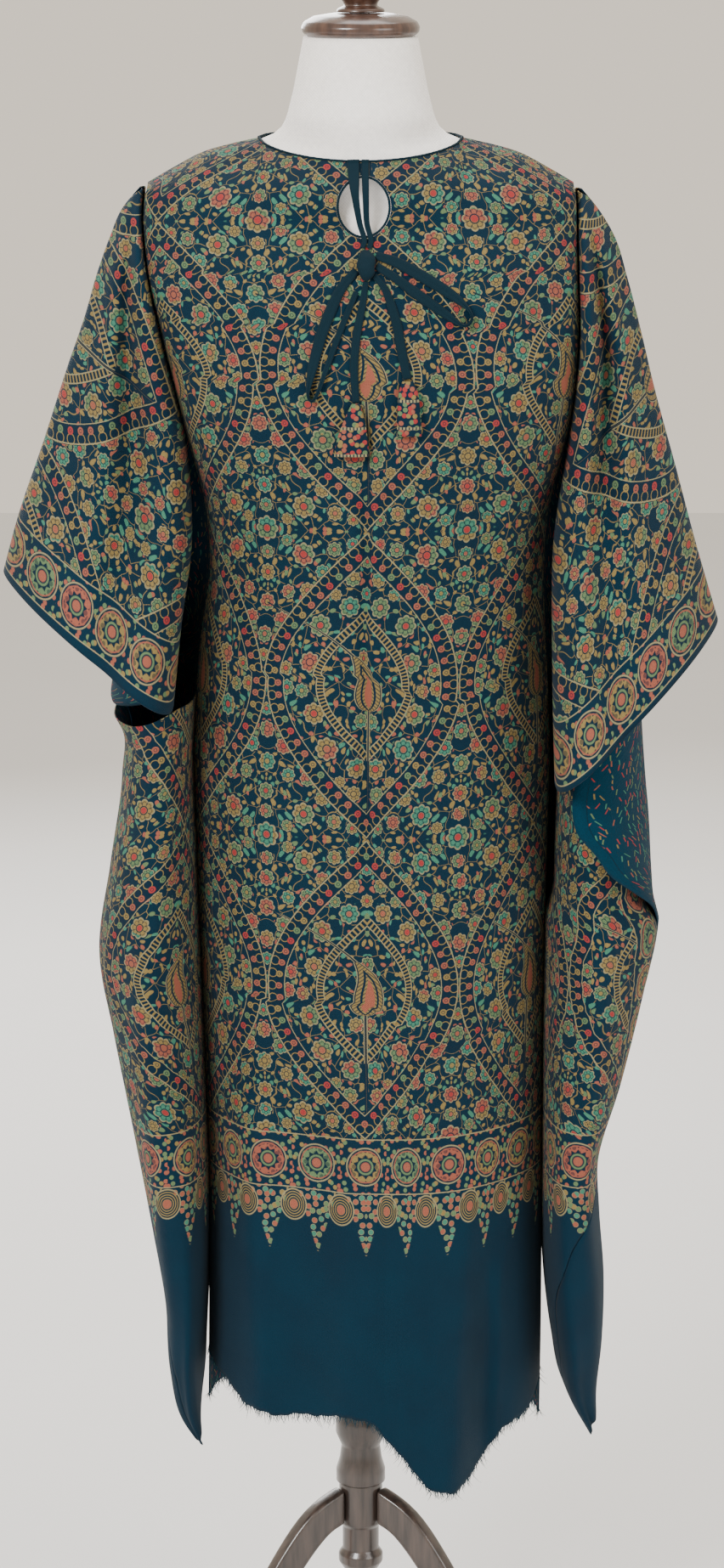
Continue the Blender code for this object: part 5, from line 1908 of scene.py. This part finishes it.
class Plain(Enum):
    """The plain cloths, by colour, roughness, thread count and relief."""

    JERSEY = ((0.880, 0.835, 0.785), 0.86, 2600.0, 0.00025)
    TIE = ((0.0008, 0.0105, 0.0180), 0.82, 4200.0, 0.00030)
    HEM_WOOL = ((0.0020, 0.0260, 0.0420), 0.85, 4200.0, 0.00010)


@dataclass(frozen=True)
class PlainCloth:
    """A plain knitted or woven cloth."""

    cloth: Plain

    def material(self) -> bpy.types.Material:
        """Make the cloth.

        Returns:
            The finished material.
        """
        tone, roughness, count, depth = self.cloth.value
        book = NodeBook(f"cloth_{self.cloth.name.lower()}", roughness=roughness, sheen=0.03)
        place = book.object_place()
        x, _, z = book.parts(place)
        knit = book.math("SINE", x * count) * book.math("SINE", z * count)
        fuzz = book.noise(place, 240.0, 3.0)
        cloud = book.noise(place, 9.0, 2.0)
        # The knit's loops lighten and darken the colour a little as painted shade; the fuzz and cloud are
        # uneven tone.
        light = fuzz * 0.22 + cloud * 0.10 + knit * 0.05 + 0.84
        node = book.tree.nodes.new("ShaderNodeMix")
        node.data_type = "RGBA"
        node.inputs[6].default_value = (*tone, 1.0)
        node.inputs[7].default_value = (*(min(c * 1.25, 0.9) for c in tone), 1.0)
        book.put(node.inputs["Factor"], cloud)
        colour = book.shade(Field(book, node.outputs[2]), light)
        return book.finish(colour, knit * 0.35 + fuzz * 0.5, depth)


@dataclass(frozen=True)
class TasselPrint:
    """The small printed cloth of the tassels: a ladder band and scattered buds."""

    def material(self) -> bpy.types.Material:
        """Make the print.

        Returns:
            The finished material.
        """
        book = NodeBook("tassel_print", roughness=0.80, sheen=0.03)
        place = book.vector("MULTIPLY", book.object_place(), (1000.0, 1000.0, 1000.0))
        x, _, z = book.parts(place)
        way, dye = book.cells(book.combine(x, z), 4.6)
        size = book.vector("LENGTH", way)
        pick = book.parts(dye)[0]
        hue = book.steps(pick, (Tint.CORAL, Tint.GOLD, Tint.RED, Tint.SAGE))
        dot = book.inside(size - 2.0, 0.4)
        band = book.inside(book.math("PINGPONG", z, 11.0) - 1.1, 0.3)
        rung = book.inside(book.math("PINGPONG", x, 1.4) - 0.5, 0.3)
        fuzz = book.noise(place, 1.2, 2.0)
        colour = book.blend(dot, Tint.GROUND, hue)
        colour = book.blend(band, colour, Tint.CREAM)
        colour = book.blend(band * rung, colour, Tint.GROUND)
        light = fuzz * 0.6 + 0.68
        return book.finish(book.shade(colour, light), dot * 0.5 + fuzz * 0.4, 0.0005)


def place_object(name: str, mesh: bpy.types.Mesh) -> bpy.types.Object:
    """Put a mesh in the scene as an object of its own."""
    item = bpy.data.objects.new(name, mesh)
    bpy.context.scene.collection.objects.link(item)
    return item


def take_up(item: bpy.types.Object) -> None:
    """Select one object alone and make it active."""
    bpy.ops.object.select_all(action="DESELECT")
    item.select_set(True)
    bpy.context.view_layer.objects.active = item


def apply_modifiers(item: bpy.types.Object) -> None:
    """Apply every modifier of an object, in order."""
    take_up(item)
    for name in [modifier.name for modifier in item.modifiers]:
        bpy.ops.object.modifier_apply(modifier=name)


def settle_piece(item: bpy.types.Object, nodes: Sequence[str]) -> None:
    """Tell the frame what a finished piece stands for.

    Args:
        item: The piece.
        nodes: The CAD nodes that it replaces.
    """
    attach(item, "root")
    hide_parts(*nodes)
    size = tuple(round(1000 * side) for side in item.dimensions)
    LOG.info("%s: %d faces, %d x %d x %d mm", item.name, len(item.data.polygons), *size)


def grid_faces(rows: int, columns: int, closed: bool, flip: bool) -> list[tuple[int, ...]]:
    """List the quads over a grid of points.

    Args:
        rows: Points down the grid.
        columns: Points across it.
        closed: Whether the last column joins the first.
        flip: Whether the faces look the other way.

    Returns:
        The quads, as point numbers.
    """
    faces = []
    for i in range(rows - 1):
        for j in range(columns if closed else columns - 1):
            k = (j + 1) % columns
            quad = (i * columns + j, (i + 1) * columns + j, (i + 1) * columns + k, i * columns + k)
            faces.append(quad[::-1] if flip else quad)
    return faces


def grid_mesh(name: str, grid: np.ndarray, closed: bool = False, flip: bool = False) -> bpy.types.Mesh:
    """Make a smooth mesh of quads over a grid of points about the stand's axis.

    Args:
        name: The mesh's name.
        grid: Rows of points.
        closed: Whether the rows are rings, and the two ends are closed.
        flip: Whether the faces look the other way.

    Returns:
        The mesh.
    """
    rows, columns = grid.shape[:2]
    points = grid.reshape(-1, 3) + (0.0, DEPTH_CENTRE, 0.0)
    faces = grid_faces(rows, columns, closed, flip)
    if closed:
        faces.append(tuple(range(columns))[:: -1 if flip else 1])
        faces.append(tuple(range((rows - 1) * columns, rows * columns))[:: 1 if flip else -1])
    mesh = bpy.data.meshes.new(name)
    mesh.from_pydata(points.tolist(), [], faces)
    mesh.shade_smooth()
    return mesh


class Cut(NamedTuple):
    """The flat cut of what shows of a piece, in metres and square metres."""

    width: float
    length: float
    area: float | None = None


@dataclass
class Cloth:
    """The shawl's cloth: an embroidered face and a plain reverse."""

    face: bpy.types.Material
    reverse: bpy.types.Material

    def make(self, name: str, layer: Layer, flip: bool) -> bpy.types.Object:
        """Sew up one layer as a thin shell.

        Args:
            name: The piece's name.
            layer: Its points and their places on the flat shawl.
            flip: Whether its face looks the other way.

        Returns:
            The piece, with its face and its reverse.
        """
        mesh = grid_mesh(name, layer.points, flip=flip)
        cloth_map = mesh.uv_layers.new(name="Cloth")
        corner = np.empty(len(mesh.loops), dtype=np.int32)
        mesh.loops.foreach_get("vertex_index", corner)
        cloth_map.data.foreach_set("uv", layer.flat.reshape(-1, 2)[corner].ravel())
        for material in (self.face, self.reverse, self.face):
            mesh.materials.append(material)
        faces = layer.points.shape[1] - 1
        for row in range(*layer.lip):
            for face in range((row + 1) * faces - LIP_COLUMNS, (row + 1) * faces):
                mesh.polygons[face].material_index = 1
        item = place_object(name, mesh)
        wall = item.modifiers.new("wall", "SOLIDIFY")
        wall.thickness = WALL
        wall.offset = 0.0
        wall.material_offset = 1
        apply_modifiers(item)
        return item

    def declare(self, item: bpy.types.Object, node: str, held: str, trims: Sequence = ()) -> None:
        """Do nothing; the piece's flat cut and how it is held are not stated.

        Args:
            item: The piece; not used.
            node: The CAD node that it replaces; not used.
            held: How the cloth is held; not used.
            trims: The separate pieces on it; not used.
        """


@dataclass
class FrayedHem:
    """The raw lower edge of the body, with loose threads hanging from it."""

    name: str
    line: np.ndarray
    strands: int = 460
    length: float = 0.0080
    radius: float = 0.00042
    seed: int = 7

    def strand(self, root: np.ndarray, chance: np.random.Generator) -> np.ndarray:
        """Shape one loose thread.

        Args:
            root: Where it leaves the hem.
            chance: The seeded dice.

        Returns:
            Its rings of three points, from the hem to its tip.
        """
        lean = chance.normal(0.0, 0.42, 2)
        length = self.length * chance.uniform(0.55, 1.15)
        shares = np.linspace(0.0, 1.0, 5)[:, None]
        path = root + np.concatenate([shares**1.6 * lean[None, :] * length, -shares * length], axis=1)
        turn = np.array((0.0, 2.094, 4.189)) + chance.uniform(0, 6.28)
        ring = np.stack([np.cos(turn), np.sin(turn), np.zeros(3)], axis=1)
        return path[:, None, :] + ring[None] * self.radius * (1.0 - 0.85 * shares[..., None])

    def build(self, material: bpy.types.Material) -> bpy.types.Object:
        """Hang all the threads under the hem.

        Args:
            material: The wool's material.

        Returns:
            The fringe of threads as one piece.
        """
        chance = np.random.default_rng(self.seed)
        roots = resample(self.line, self.strands)
        roots[1:-1, 0] += chance.uniform(-0.0005, 0.0005, self.strands - 2)
        points, faces = [], []
        for root in roots:
            rings = self.strand(root + (0.0, DEPTH_CENTRE, 0.0), chance)
            start = len(points)
            points += rings.reshape(-1, 3).tolist()
            faces += [tuple(start + k for k in quad) for quad in grid_faces(5, 3, True, False)]
            faces += [(start, start + 1, start + 2), (start + 14, start + 13, start + 12)]
        mesh = bpy.data.meshes.new(self.name)
        mesh.from_pydata(points, [], faces)
        mesh.shade_smooth()
        mesh.materials.append(material)
        item = place_object(self.name, mesh)
        settle_piece(item, [self.name])
        return item


@dataclass
class ShawlBody:
    """The front and back between the stitch lines, with the keyhole and the frayed hems."""

    cloth: Cloth
    front: Layer
    back: Layer
    keyhole_points: int = 72

    def cut_keyhole(self, panel: bpy.types.Object) -> None:
        """Cut the keyhole below the neck edge.

        Args:
            panel: The front, already a shell.
        """
        turn = np.linspace(0, 2 * np.pi, self.keyhole_points, endpoint=False)
        x = KEYHOLE_X + KEYHOLE_HALF_WIDTH * np.sin(turn)
        z = KEYHOLE_HEIGHT - KEYHOLE_HALF_HEIGHT * np.cos(turn)
        rings = np.array([np.stack([x, np.full(len(x), y), z], axis=1) for y in (-0.150, -0.040)])
        tool = place_object("keyhole_tool", grid_mesh("keyhole_tool", rings, closed=True))
        take_up(tool)
        bpy.ops.object.mode_set(mode="EDIT")
        bpy.ops.mesh.select_all(action="SELECT")
        bpy.ops.mesh.normals_make_consistent(inside=False)
        bpy.ops.object.mode_set(mode="OBJECT")
        cut = panel.modifiers.new("keyhole", "BOOLEAN")
        cut.operation = "DIFFERENCE"
        cut.solver = "EXACT"
        cut.object = tool
        apply_modifiers(panel)
        bpy.data.objects.remove(tool, do_unlink=True)

    def build(self) -> None:
        """Make both panels with their frayed hems."""
        front = self.cloth.make("body_front", self.front, flip=False)
        self.cut_keyhole(front)
        settle_piece(front, ["front_panel"])
        wool = PlainCloth(Plain.HEM_WOOL).material()
        fray = FrayedHem("hem_fray_front", self.front.points[-1], seed=7).build(wool)
        self.cloth.declare(front, "front_panel", "hung", [fray])
        back = self.cloth.make("body_back", self.back, flip=True)
        settle_piece(back, ["back_panel"])
        fray = FrayedHem("hem_fray_back", self.back.points[-1], seed=11).build(wool)
        self.cloth.declare(back, "back_panel", "hung", [fray])


@dataclass
class ShawlSide:
    """One sleeve with its wing: the front layers and the long back layer."""

    cloth: Cloth
    side: Side

    def build(self) -> None:
        """Make the three layers of this side."""
        shape = SideShape(self.side)
        name, left = self.side.name, self.side.sign < 0
        layers = (
            ("sleeve_front", shape.sleeve_front(), left),
            ("wing_front", shape.wing_front(), left),
            ("sleeve_wing_back", shape.back(), not left),
        )
        for part, layer, flip in layers:
            points = layer.points * (self.side.sign, 1.0, 1.0)
            item = self.cloth.make(f"{part}_cloth_{name}", layer._replace(points=points), flip)
            settle_piece(item, [f"{part}_{name}"])
            self.cloth.declare(item, f"{part}_{name}", "draped")


@dataclass
class Binding:
    """A rolled edge of plain cloth along a closed line."""

    name: str
    line: np.ndarray
    radius: float
    points: int = 220
    sides: int = 10

    def build(self, material: bpy.types.Material) -> None:
        """Roll the binding round its line.

        Args:
            material: The cloth's material.
        """
        closed = np.concatenate([self.line, self.line[:1]])
        line = resample(closed, self.points + 1)[:-1]
        run = np.roll(line, -1, axis=0) - np.roll(line, 1, axis=0)
        run /= np.linalg.norm(run, axis=1)[:, None]
        guide = np.array((0.0, 0.0, 1.0)) if abs(run[:, 2]).max() < 0.7 else np.array((0.0, 1.0, 0.0))
        side = np.cross(run, guide)
        side /= np.linalg.norm(side, axis=1)[:, None]
        rise = np.cross(side, run)
        turn = np.linspace(0, 2 * np.pi, self.sides, endpoint=False)
        wave = 1.0 + 0.10 * np.sin(np.arange(self.points) * 2.2)
        round_it = np.cos(turn)[None, :, None] * side[:, None] + np.sin(turn)[None, :, None] * rise[:, None]
        rings = line[:, None] + self.radius * wave[:, None, None] * round_it
        rings = np.concatenate([rings, rings[:1]])
        count = self.points
        faces = grid_faces(count + 1, self.sides, True, True)
        faces = [tuple(p % (count * self.sides) for p in face) for face in faces]
        mesh = bpy.data.meshes.new(self.name)
        points = rings[:-1].reshape(-1, 3) + (0.0, DEPTH_CENTRE, 0.0)
        mesh.from_pydata(points.tolist(), [], faces)
        mesh.shade_smooth()
        mesh.materials.append(material)
        item = place_object(f"{self.name}_roll", mesh)
        settle_piece(item, [self.name])


@dataclass
class TieSet:
    """The straps, the knot, the bow and the tails with their tassels, laid on the front."""

    front: np.ndarray
    rings_along: int = 90
    oval_sides: int = 28

    def band(self, name: str, points: Sequence[TiePoint]) -> bpy.types.Mesh:
        """Shape one flat tie with rounded edges.

        Args:
            name: The tie's name.
            points: Its line.

        Returns:
            Its mesh.
        """
        keys = np.linspace(0.0, 1.0, len(points))
        at = np.linspace(0.0, 1.0, self.rings_along)
        x, z, half, lift = (smooth_read(keys, [p[k] for p in points], at) for k in range(4))
        run = np.stack([np.gradient(x), np.gradient(z)], axis=1)
        run /= np.linalg.norm(run, axis=1)[:, None]
        section = ((1.0, 0.5), (0.85, 0.06), (0.4, 0.0), (-0.4, 0.0), (-0.85, 0.06), (-1.0, 0.5))
        section += ((-0.85, 0.94), (-0.3, 1.0), (0.0, 0.80), (0.3, 1.0), (0.85, 0.94))
        rings = []
        for i in range(self.rings_along):
            ring = []
            for a, b in section:
                across = x[i] - a * run[i, 1] * half[i]
                height = z[i] + a * run[i, 0] * half[i]
                back = panel_at(self.front, across, height) - WALL / 2 - TIE_GAP
                ring.append((across, back - 2 * lift[i] * b, height))
            rings.append(ring)
        return grid_mesh(name, np.array(rings), closed=True)

    def ovals(
        self, name: str, stack: Sequence[OvalRing], top: float, flutes: int, deep: float
    ) -> bpy.types.Mesh:
        """Shape the knot or a gathered tassel as a stack of uneven ovals.

        Args:
            name: The piece's name.
            stack: Its ovals.
            top: The height of the first.
            flutes: How many gathers run round it.
            deep: How deep they are, as a share of the radius.

        Returns:
            Its mesh.
        """
        keys = [ring.drop for ring in stack]
        drops = np.linspace(keys[0], keys[-1], 40)
        turn = np.linspace(0, 2 * np.pi, self.oval_sides, endpoint=False)
        rings = []
        for drop in drops:
            x, half, depth = (
                float(smooth_read(keys, [getattr(r, f) for r in stack], drop)) for f in ("x", "half", "depth")
            )
            height = top - drop
            y = panel_at(self.front, x, height) - WALL / 2 - TIE_GAP - depth
            grow = drop / keys[-1]
            gather = 1.0 - deep * grow * (0.5 - 0.5 * np.cos(flutes * turn + 2.0 * grow))
            ring = np.stack([x + half * gather * np.cos(turn), y + depth * gather * np.sin(turn)], axis=1)
            rings.append(np.column_stack([ring, np.full(len(turn), height)]))
        return grid_mesh(name, np.array(rings), closed=True)

    def wrap_knot(self, mesh: bpy.types.Mesh) -> None:
        """Press the turns of the tie into the knot.

        Args:
            mesh: The knot's mesh.
        """
        for point in mesh.vertices:
            slope = (point.co.z - KNOT_TOP) * 520.0 + (point.co.x - 0.0045) * 260.0
            sink = 0.0005 * math.sin(slope)
            away = Vector((point.co.x - 0.0045, 0.0, 0.0))
            point.co -= away.normalized() * sink if away.length > 0.002 else Vector((0.0, -sink, 0.0))

    def build(self, cloth: bpy.types.Material, printed: bpy.types.Material) -> None:
        """Make all the ties.

        Args:
            cloth: The material of the ties.
            printed: The material of the tassels.
        """
        for name, points in TIES.items():
            mesh = self.band(name, points)
            mesh.materials.append(cloth)
            settle_piece(place_object(f"{name}_band", mesh), [name])
        knot = self.ovals("knot", KNOT, KNOT_TOP, 1, 0.0)
        self.wrap_knot(knot)
        knot.materials.append(cloth)
        settle_piece(place_object("knot_wrapped", knot), ["tie_knot"])
        tassels = (("left", TASSEL_LEFT, TASSEL_LEFT_TOP), ("right", TASSEL_RIGHT, TASSEL_RIGHT_TOP))
        for name, stack, top in tassels:
            mesh = self.ovals(f"tassel_{name}", stack, top, 7, 0.16)
            mesh.materials.append(printed)
            item = place_object(f"tassel_{name}_print", mesh)
            settle_piece(item, [f"tassel_{name}"])


@dataclass
class DressForm:
    """The padded, limbless form under its jersey cover."""

    rings: int = 150
    sides: int = 120
    seam: float = 0.0007

    def build(self, material: bpy.types.Material) -> None:
        """Pad out the form and cover it.

        Args:
            material: The jersey.
        """
        heights = [ring.height for ring in FORM_RINGS]
        at = np.linspace(heights[0], heights[-1], self.rings)
        turn = np.linspace(0, 2 * np.pi, self.sides, endpoint=False)
        half, ahead, behind, pinch = (
            np.interp(at, heights, [getattr(r, f) for r in FORM_RINGS])[:, None]
            for f in ("half", "front", "back", "pinch")
        )
        depth = np.where(np.sin(turn)[None, :] < 0, ahead, behind)
        swell = np.sign(np.sin(turn)) * np.abs(np.sin(turn)) ** pinch
        bell = np.exp(-((np.cos(turn) / 0.02) ** 2)) + np.exp(-((np.sin(turn) / 0.02) ** 2))
        x = (half - self.seam * bell) * np.cos(turn)
        y = (depth - self.seam * bell) * swell
        grid = np.stack([x, y, np.broadcast_to(at[:, None], x.shape)], axis=-1)
        mesh = grid_mesh("form_cover", grid, closed=True, flip=True)
        mesh.materials.append(material)
        item = place_object("form_cover", mesh)
        settle_piece(item, ["form_torso"])


@dataclass
class Stand:
    """The turned parts above and below the form, and its three legs."""

    steps: int = 64
    soften: float = 0.0011

    def turned(self, name: str, profile: Sequence[Turn]) -> bpy.types.Object:
        """Turn a piece on the axis from its profile.

        Args:
            name: The piece's name.
            profile: Its outline, from the top down.

        Returns:
            The turned piece.
        """
        bpy.ops.object.select_all(action="DESELECT")
        top = (profile[0].radius, DEPTH_CENTRE, profile[0].height)
        bpy.ops.mesh.primitive_plane_add(size=0.001, location=(0.0, DEPTH_CENTRE, profile[0].height))
        item = bpy.context.object
        item.name = name
        bpy.ops.object.transform_apply(location=True)
        bpy.ops.object.mode_set(mode="EDIT")
        bpy.ops.mesh.select_all(action="SELECT")
        bpy.ops.mesh.merge(type="CENTER")
        last = Vector(top)
        for turn in profile[1:]:
            spot = Vector((turn.radius, DEPTH_CENTRE, turn.height))
            step = {"value": tuple(spot - last)}
            bpy.ops.mesh.extrude_vertices_move(TRANSFORM_OT_translate=step)
            last = spot
        bpy.ops.mesh.select_all(action="SELECT")
        axis = {"center": (0.0, DEPTH_CENTRE, 0.0), "axis": (0.0, 0.0, 1.0)}
        bpy.ops.mesh.spin(steps=self.steps, angle=2 * math.pi, **axis)
        bpy.ops.mesh.select_all(action="SELECT")
        bpy.ops.mesh.remove_doubles(threshold=0.00002)
        bpy.ops.mesh.normals_make_consistent(inside=False)
        bpy.ops.object.mode_set(mode="OBJECT")
        edge = item.modifiers.new("soft_edges", "BEVEL")
        edge.width = self.soften
        edge.segments = 3
        edge.limit_method = "ANGLE"
        edge.angle_limit = math.radians(24)
        apply_modifiers(item)
        bpy.ops.object.shade_smooth()
        return item

    def leg(self, name: str, degrees: float) -> bpy.types.Object:
        """Draw one leg out from the hub to its foot.

        Args:
            name: The leg's name.
            degrees: Which way it points, round the axis.

        Returns:
            The leg.
        """
        line = np.array([(p.reach, p.height) for p in LEG_POINTS])
        run = np.gradient(line, axis=0)
        run[0], run[-1] = (1.0, 0.0), (0.0, -1.0)
        run /= np.linalg.norm(run, axis=1)[:, None]
        bpy.ops.object.select_all(action="DESELECT")
        bpy.ops.mesh.primitive_plane_add(size=1.0, rotation=(0.0, math.pi / 2, 0.0))
        item = bpy.context.object
        item.name = name
        first = LEG_POINTS[0]
        item.scale = (2 * first.rise, 2 * first.half, 1.0)
        item.location = (first.reach, 0.0, first.height)
        bpy.ops.object.transform_apply(location=True, rotation=True, scale=True)
        bpy.ops.object.mode_set(mode="EDIT")
        bpy.ops.mesh.select_all(action="SELECT")
        for before, point, old, new in zip(LEG_POINTS, LEG_POINTS[1:], run, run[1:]):
            step = (point.reach - before.reach, 0.0, point.height - before.height)
            bpy.ops.mesh.extrude_region_move(TRANSFORM_OT_translate={"value": step})
            centre = (point.reach, 0.0, point.height)
            turn = math.atan2(new[1], new[0]) - math.atan2(old[1], old[0])
            bpy.ops.transform.rotate(value=turn, orient_axis="Y", center_override=centre)
            grow = (point.half / before.half + point.rise / before.rise) / 2
            bpy.ops.transform.resize(value=(grow, grow, grow), center_override=centre)
        bpy.ops.mesh.select_all(action="SELECT")
        bpy.ops.mesh.normals_make_consistent(inside=False)
        bpy.ops.object.mode_set(mode="OBJECT")
        edge = item.modifiers.new("soft_edges", "BEVEL")
        edge.width = 0.0046
        edge.segments = 2
        edge.limit_method = "ANGLE"
        edge.angle_limit = math.radians(50)
        run_smooth = item.modifiers.new("smooth_run", "SUBSURF")
        run_smooth.levels = 2
        apply_modifiers(item)
        item.rotation_euler = (0.0, 0.0, math.radians(degrees))
        item.location = (0.0, DEPTH_CENTRE, 0.0)
        bpy.ops.object.transform_apply(location=True, rotation=True, scale=True)
        bpy.ops.object.shade_smooth_by_angle(angle=math.radians(40))
        return item

    def build(self, cap: bpy.types.Material, stand: bpy.types.Material) -> None:
        """Make the cap, the finial, the column, the hub and the legs.

        Args:
            cap: The wood above the form.
            stand: The wood below it.
        """
        turned = (
            ("neck_cap", CAP_PROFILE, cap, "dark_wood"),
            ("finial", FINIAL_PROFILE, cap, "dark_wood"),
            ("column", COLUMN_PROFILE, stand, "stand_wood"),
            ("hub", HUB_PROFILE, stand, "stand_wood"),
        )
        for node, profile, material, slot in turned:
            item = self.turned(f"{node}_turned", profile)
            item.data.materials.append(material)
            settle_piece(item, [node])
        for node, degrees in LEG_ANGLES.items():
            item = self.leg(f"{node}_shaped", degrees)
            item.data.materials.append(stand)
            settle_piece(item, [node])


@dataclass
class Studio:
    """The pale floor, the soft light and the camera."""

    camera_ahead: float = 3.6
    camera_height: float = 1.63
    tilt: float = 12.3
    lens: float = 99.56

    def floor(self) -> None:
        """Lay a pale floor that isn't part of the object."""
        bpy.ops.object.select_all(action="DESELECT")
        bpy.ops.mesh.primitive_plane_add(size=14.0, location=(0.0, 0.0, -0.0006))
        item = bpy.context.object
        item.name = "studio_floor"
        book = NodeBook("pale_floor", roughness=0.9)
        cloud = book.noise(book.object_place(), 1.5, 3.0)
        light = cloud * 0.06 + 0.74
        colour = book.combine(light, light, light)
        item.data.materials.append(book.finish(colour, cloud, 0.0005))

    def lamp(self, name: str, place: tuple, size: float, power: float, aim: tuple) -> None:
        """Hang one soft lamp.

        Args:
            name: Its name.
            place: Where it hangs.
            size: The width of its square.
            power: Its power in watts.
            aim: The point that it faces.
        """
        data = bpy.data.lights.new(name, "AREA")
        data.size = size
        data.energy = power
        item = bpy.data.objects.new(name, data)
        bpy.context.scene.collection.objects.link(item)
        item.location = place
        item.rotation_euler = (Vector(aim) - Vector(place)).to_track_quat("-Z", "Y").to_euler()

    def build(self) -> None:
        """Set up the floor, the light and the camera."""
        self.floor()
        self.lamp("key", (-1.9, -3.2, 2.9), 1.3, 175.0, (0.0, 0.0, 0.95))
        self.lamp("fill", (2.6, -2.6, 1.9), 2.0, 62.0, (0.0, 0.0, 0.85))
        self.lamp("top", (0.2, 0.3, 3.4), 1.8, 45.0, (0.0, 0.0, 1.0))
        self.lamp("back", (-0.8, 3.0, 2.2), 2.0, 90.0, (0.0, 0.0, 0.9))
        world = bpy.data.worlds.new("studio_air")
        world.use_nodes = True
        air = world.node_tree.nodes["Background"]
        air.inputs["Color"].default_value = (0.97, 0.87, 0.73, 1.0)
        air.inputs["Strength"].default_value = 1.08
        bpy.context.scene.world = world
        data = bpy.data.cameras.new("view")
        data.sensor_fit = "VERTICAL"
        data.sensor_height = 36.0
        data.lens = self.lens
        camera = bpy.data.objects.new("view", data)
        bpy.context.scene.collection.objects.link(camera)
        camera.location = (0.0011, DEPTH_CENTRE - self.camera_ahead, self.camera_height)
        camera.rotation_euler = (math.radians(90.0 - self.tilt), 0.0, 0.0)
        bpy.context.scene.camera = camera


def keyhole_line(front: np.ndarray, shrink: float, count: int = 90) -> np.ndarray:
    """Draw the keyhole's outline on the front.

    Args:
        front: The front's points.
        shrink: How far inside the cut edge the line is.
        count: Its points.

    Returns:
        The closed line.
    """
    turn = np.linspace(0, 2 * np.pi, count, endpoint=False)
    x = KEYHOLE_X + (KEYHOLE_HALF_WIDTH - shrink) * np.sin(turn)
    z = KEYHOLE_HEIGHT - (KEYHOLE_HALF_HEIGHT - shrink) * np.cos(turn)
    return np.array([(a, panel_at(front, a, b), b) for a, b in zip(x, z)])


def neck_line(front: np.ndarray, back: np.ndarray, lift: float) -> np.ndarray:
    """Draw the neck edge, across the front and back again.

    Args:
        front: The front's points.
        back: The back's points.
        lift: How far above the cut edge the line is.

    Returns:
        The closed line.
    """
    ahead = [p for p in front[0] if abs(p[0]) <= NECK_HALF + 1e-6]
    behind = [p for p in back[0][::-1] if abs(p[0]) < NECK_HALF - 1e-6]
    line = np.array(ahead + behind)
    line[np.abs(line[:, 0]) > NECK_HALF - 1e-4, 1] = 0.0
    line[:, 2] += lift
    return line


def main() -> None:
    """Build every piece over the frame, light it and set the camera."""
    logging.basicConfig(level=logging.INFO, format="%(name)s: %(message)s")
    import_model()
    cloth = Cloth(Embroidery().material(), ReverseWool().material())
    tie = PlainCloth(Plain.TIE).material()
    front, back = BodyShape(True).layer(), BodyShape(False).layer()
    ShawlBody(cloth, front, back).build()
    for side in SIDES:
        ShawlSide(cloth, side).build()
    Binding("neck_binding", neck_line(front.points, back.points, 0.0009), 0.0010).build(tie)
    Binding("keyhole_binding", keyhole_line(front.points, 0.0012), 0.0010).build(tie)
    TieSet(front.points).build(tie, TasselPrint().material())
    DressForm().build(PlainCloth(Plain.JERSEY).material())
    Stand().build(VarnishedWood(Wood.CAP).material(), VarnishedWood(Wood.STAND).material())
    Studio().build()


if __name__ == "__main__":
    main()
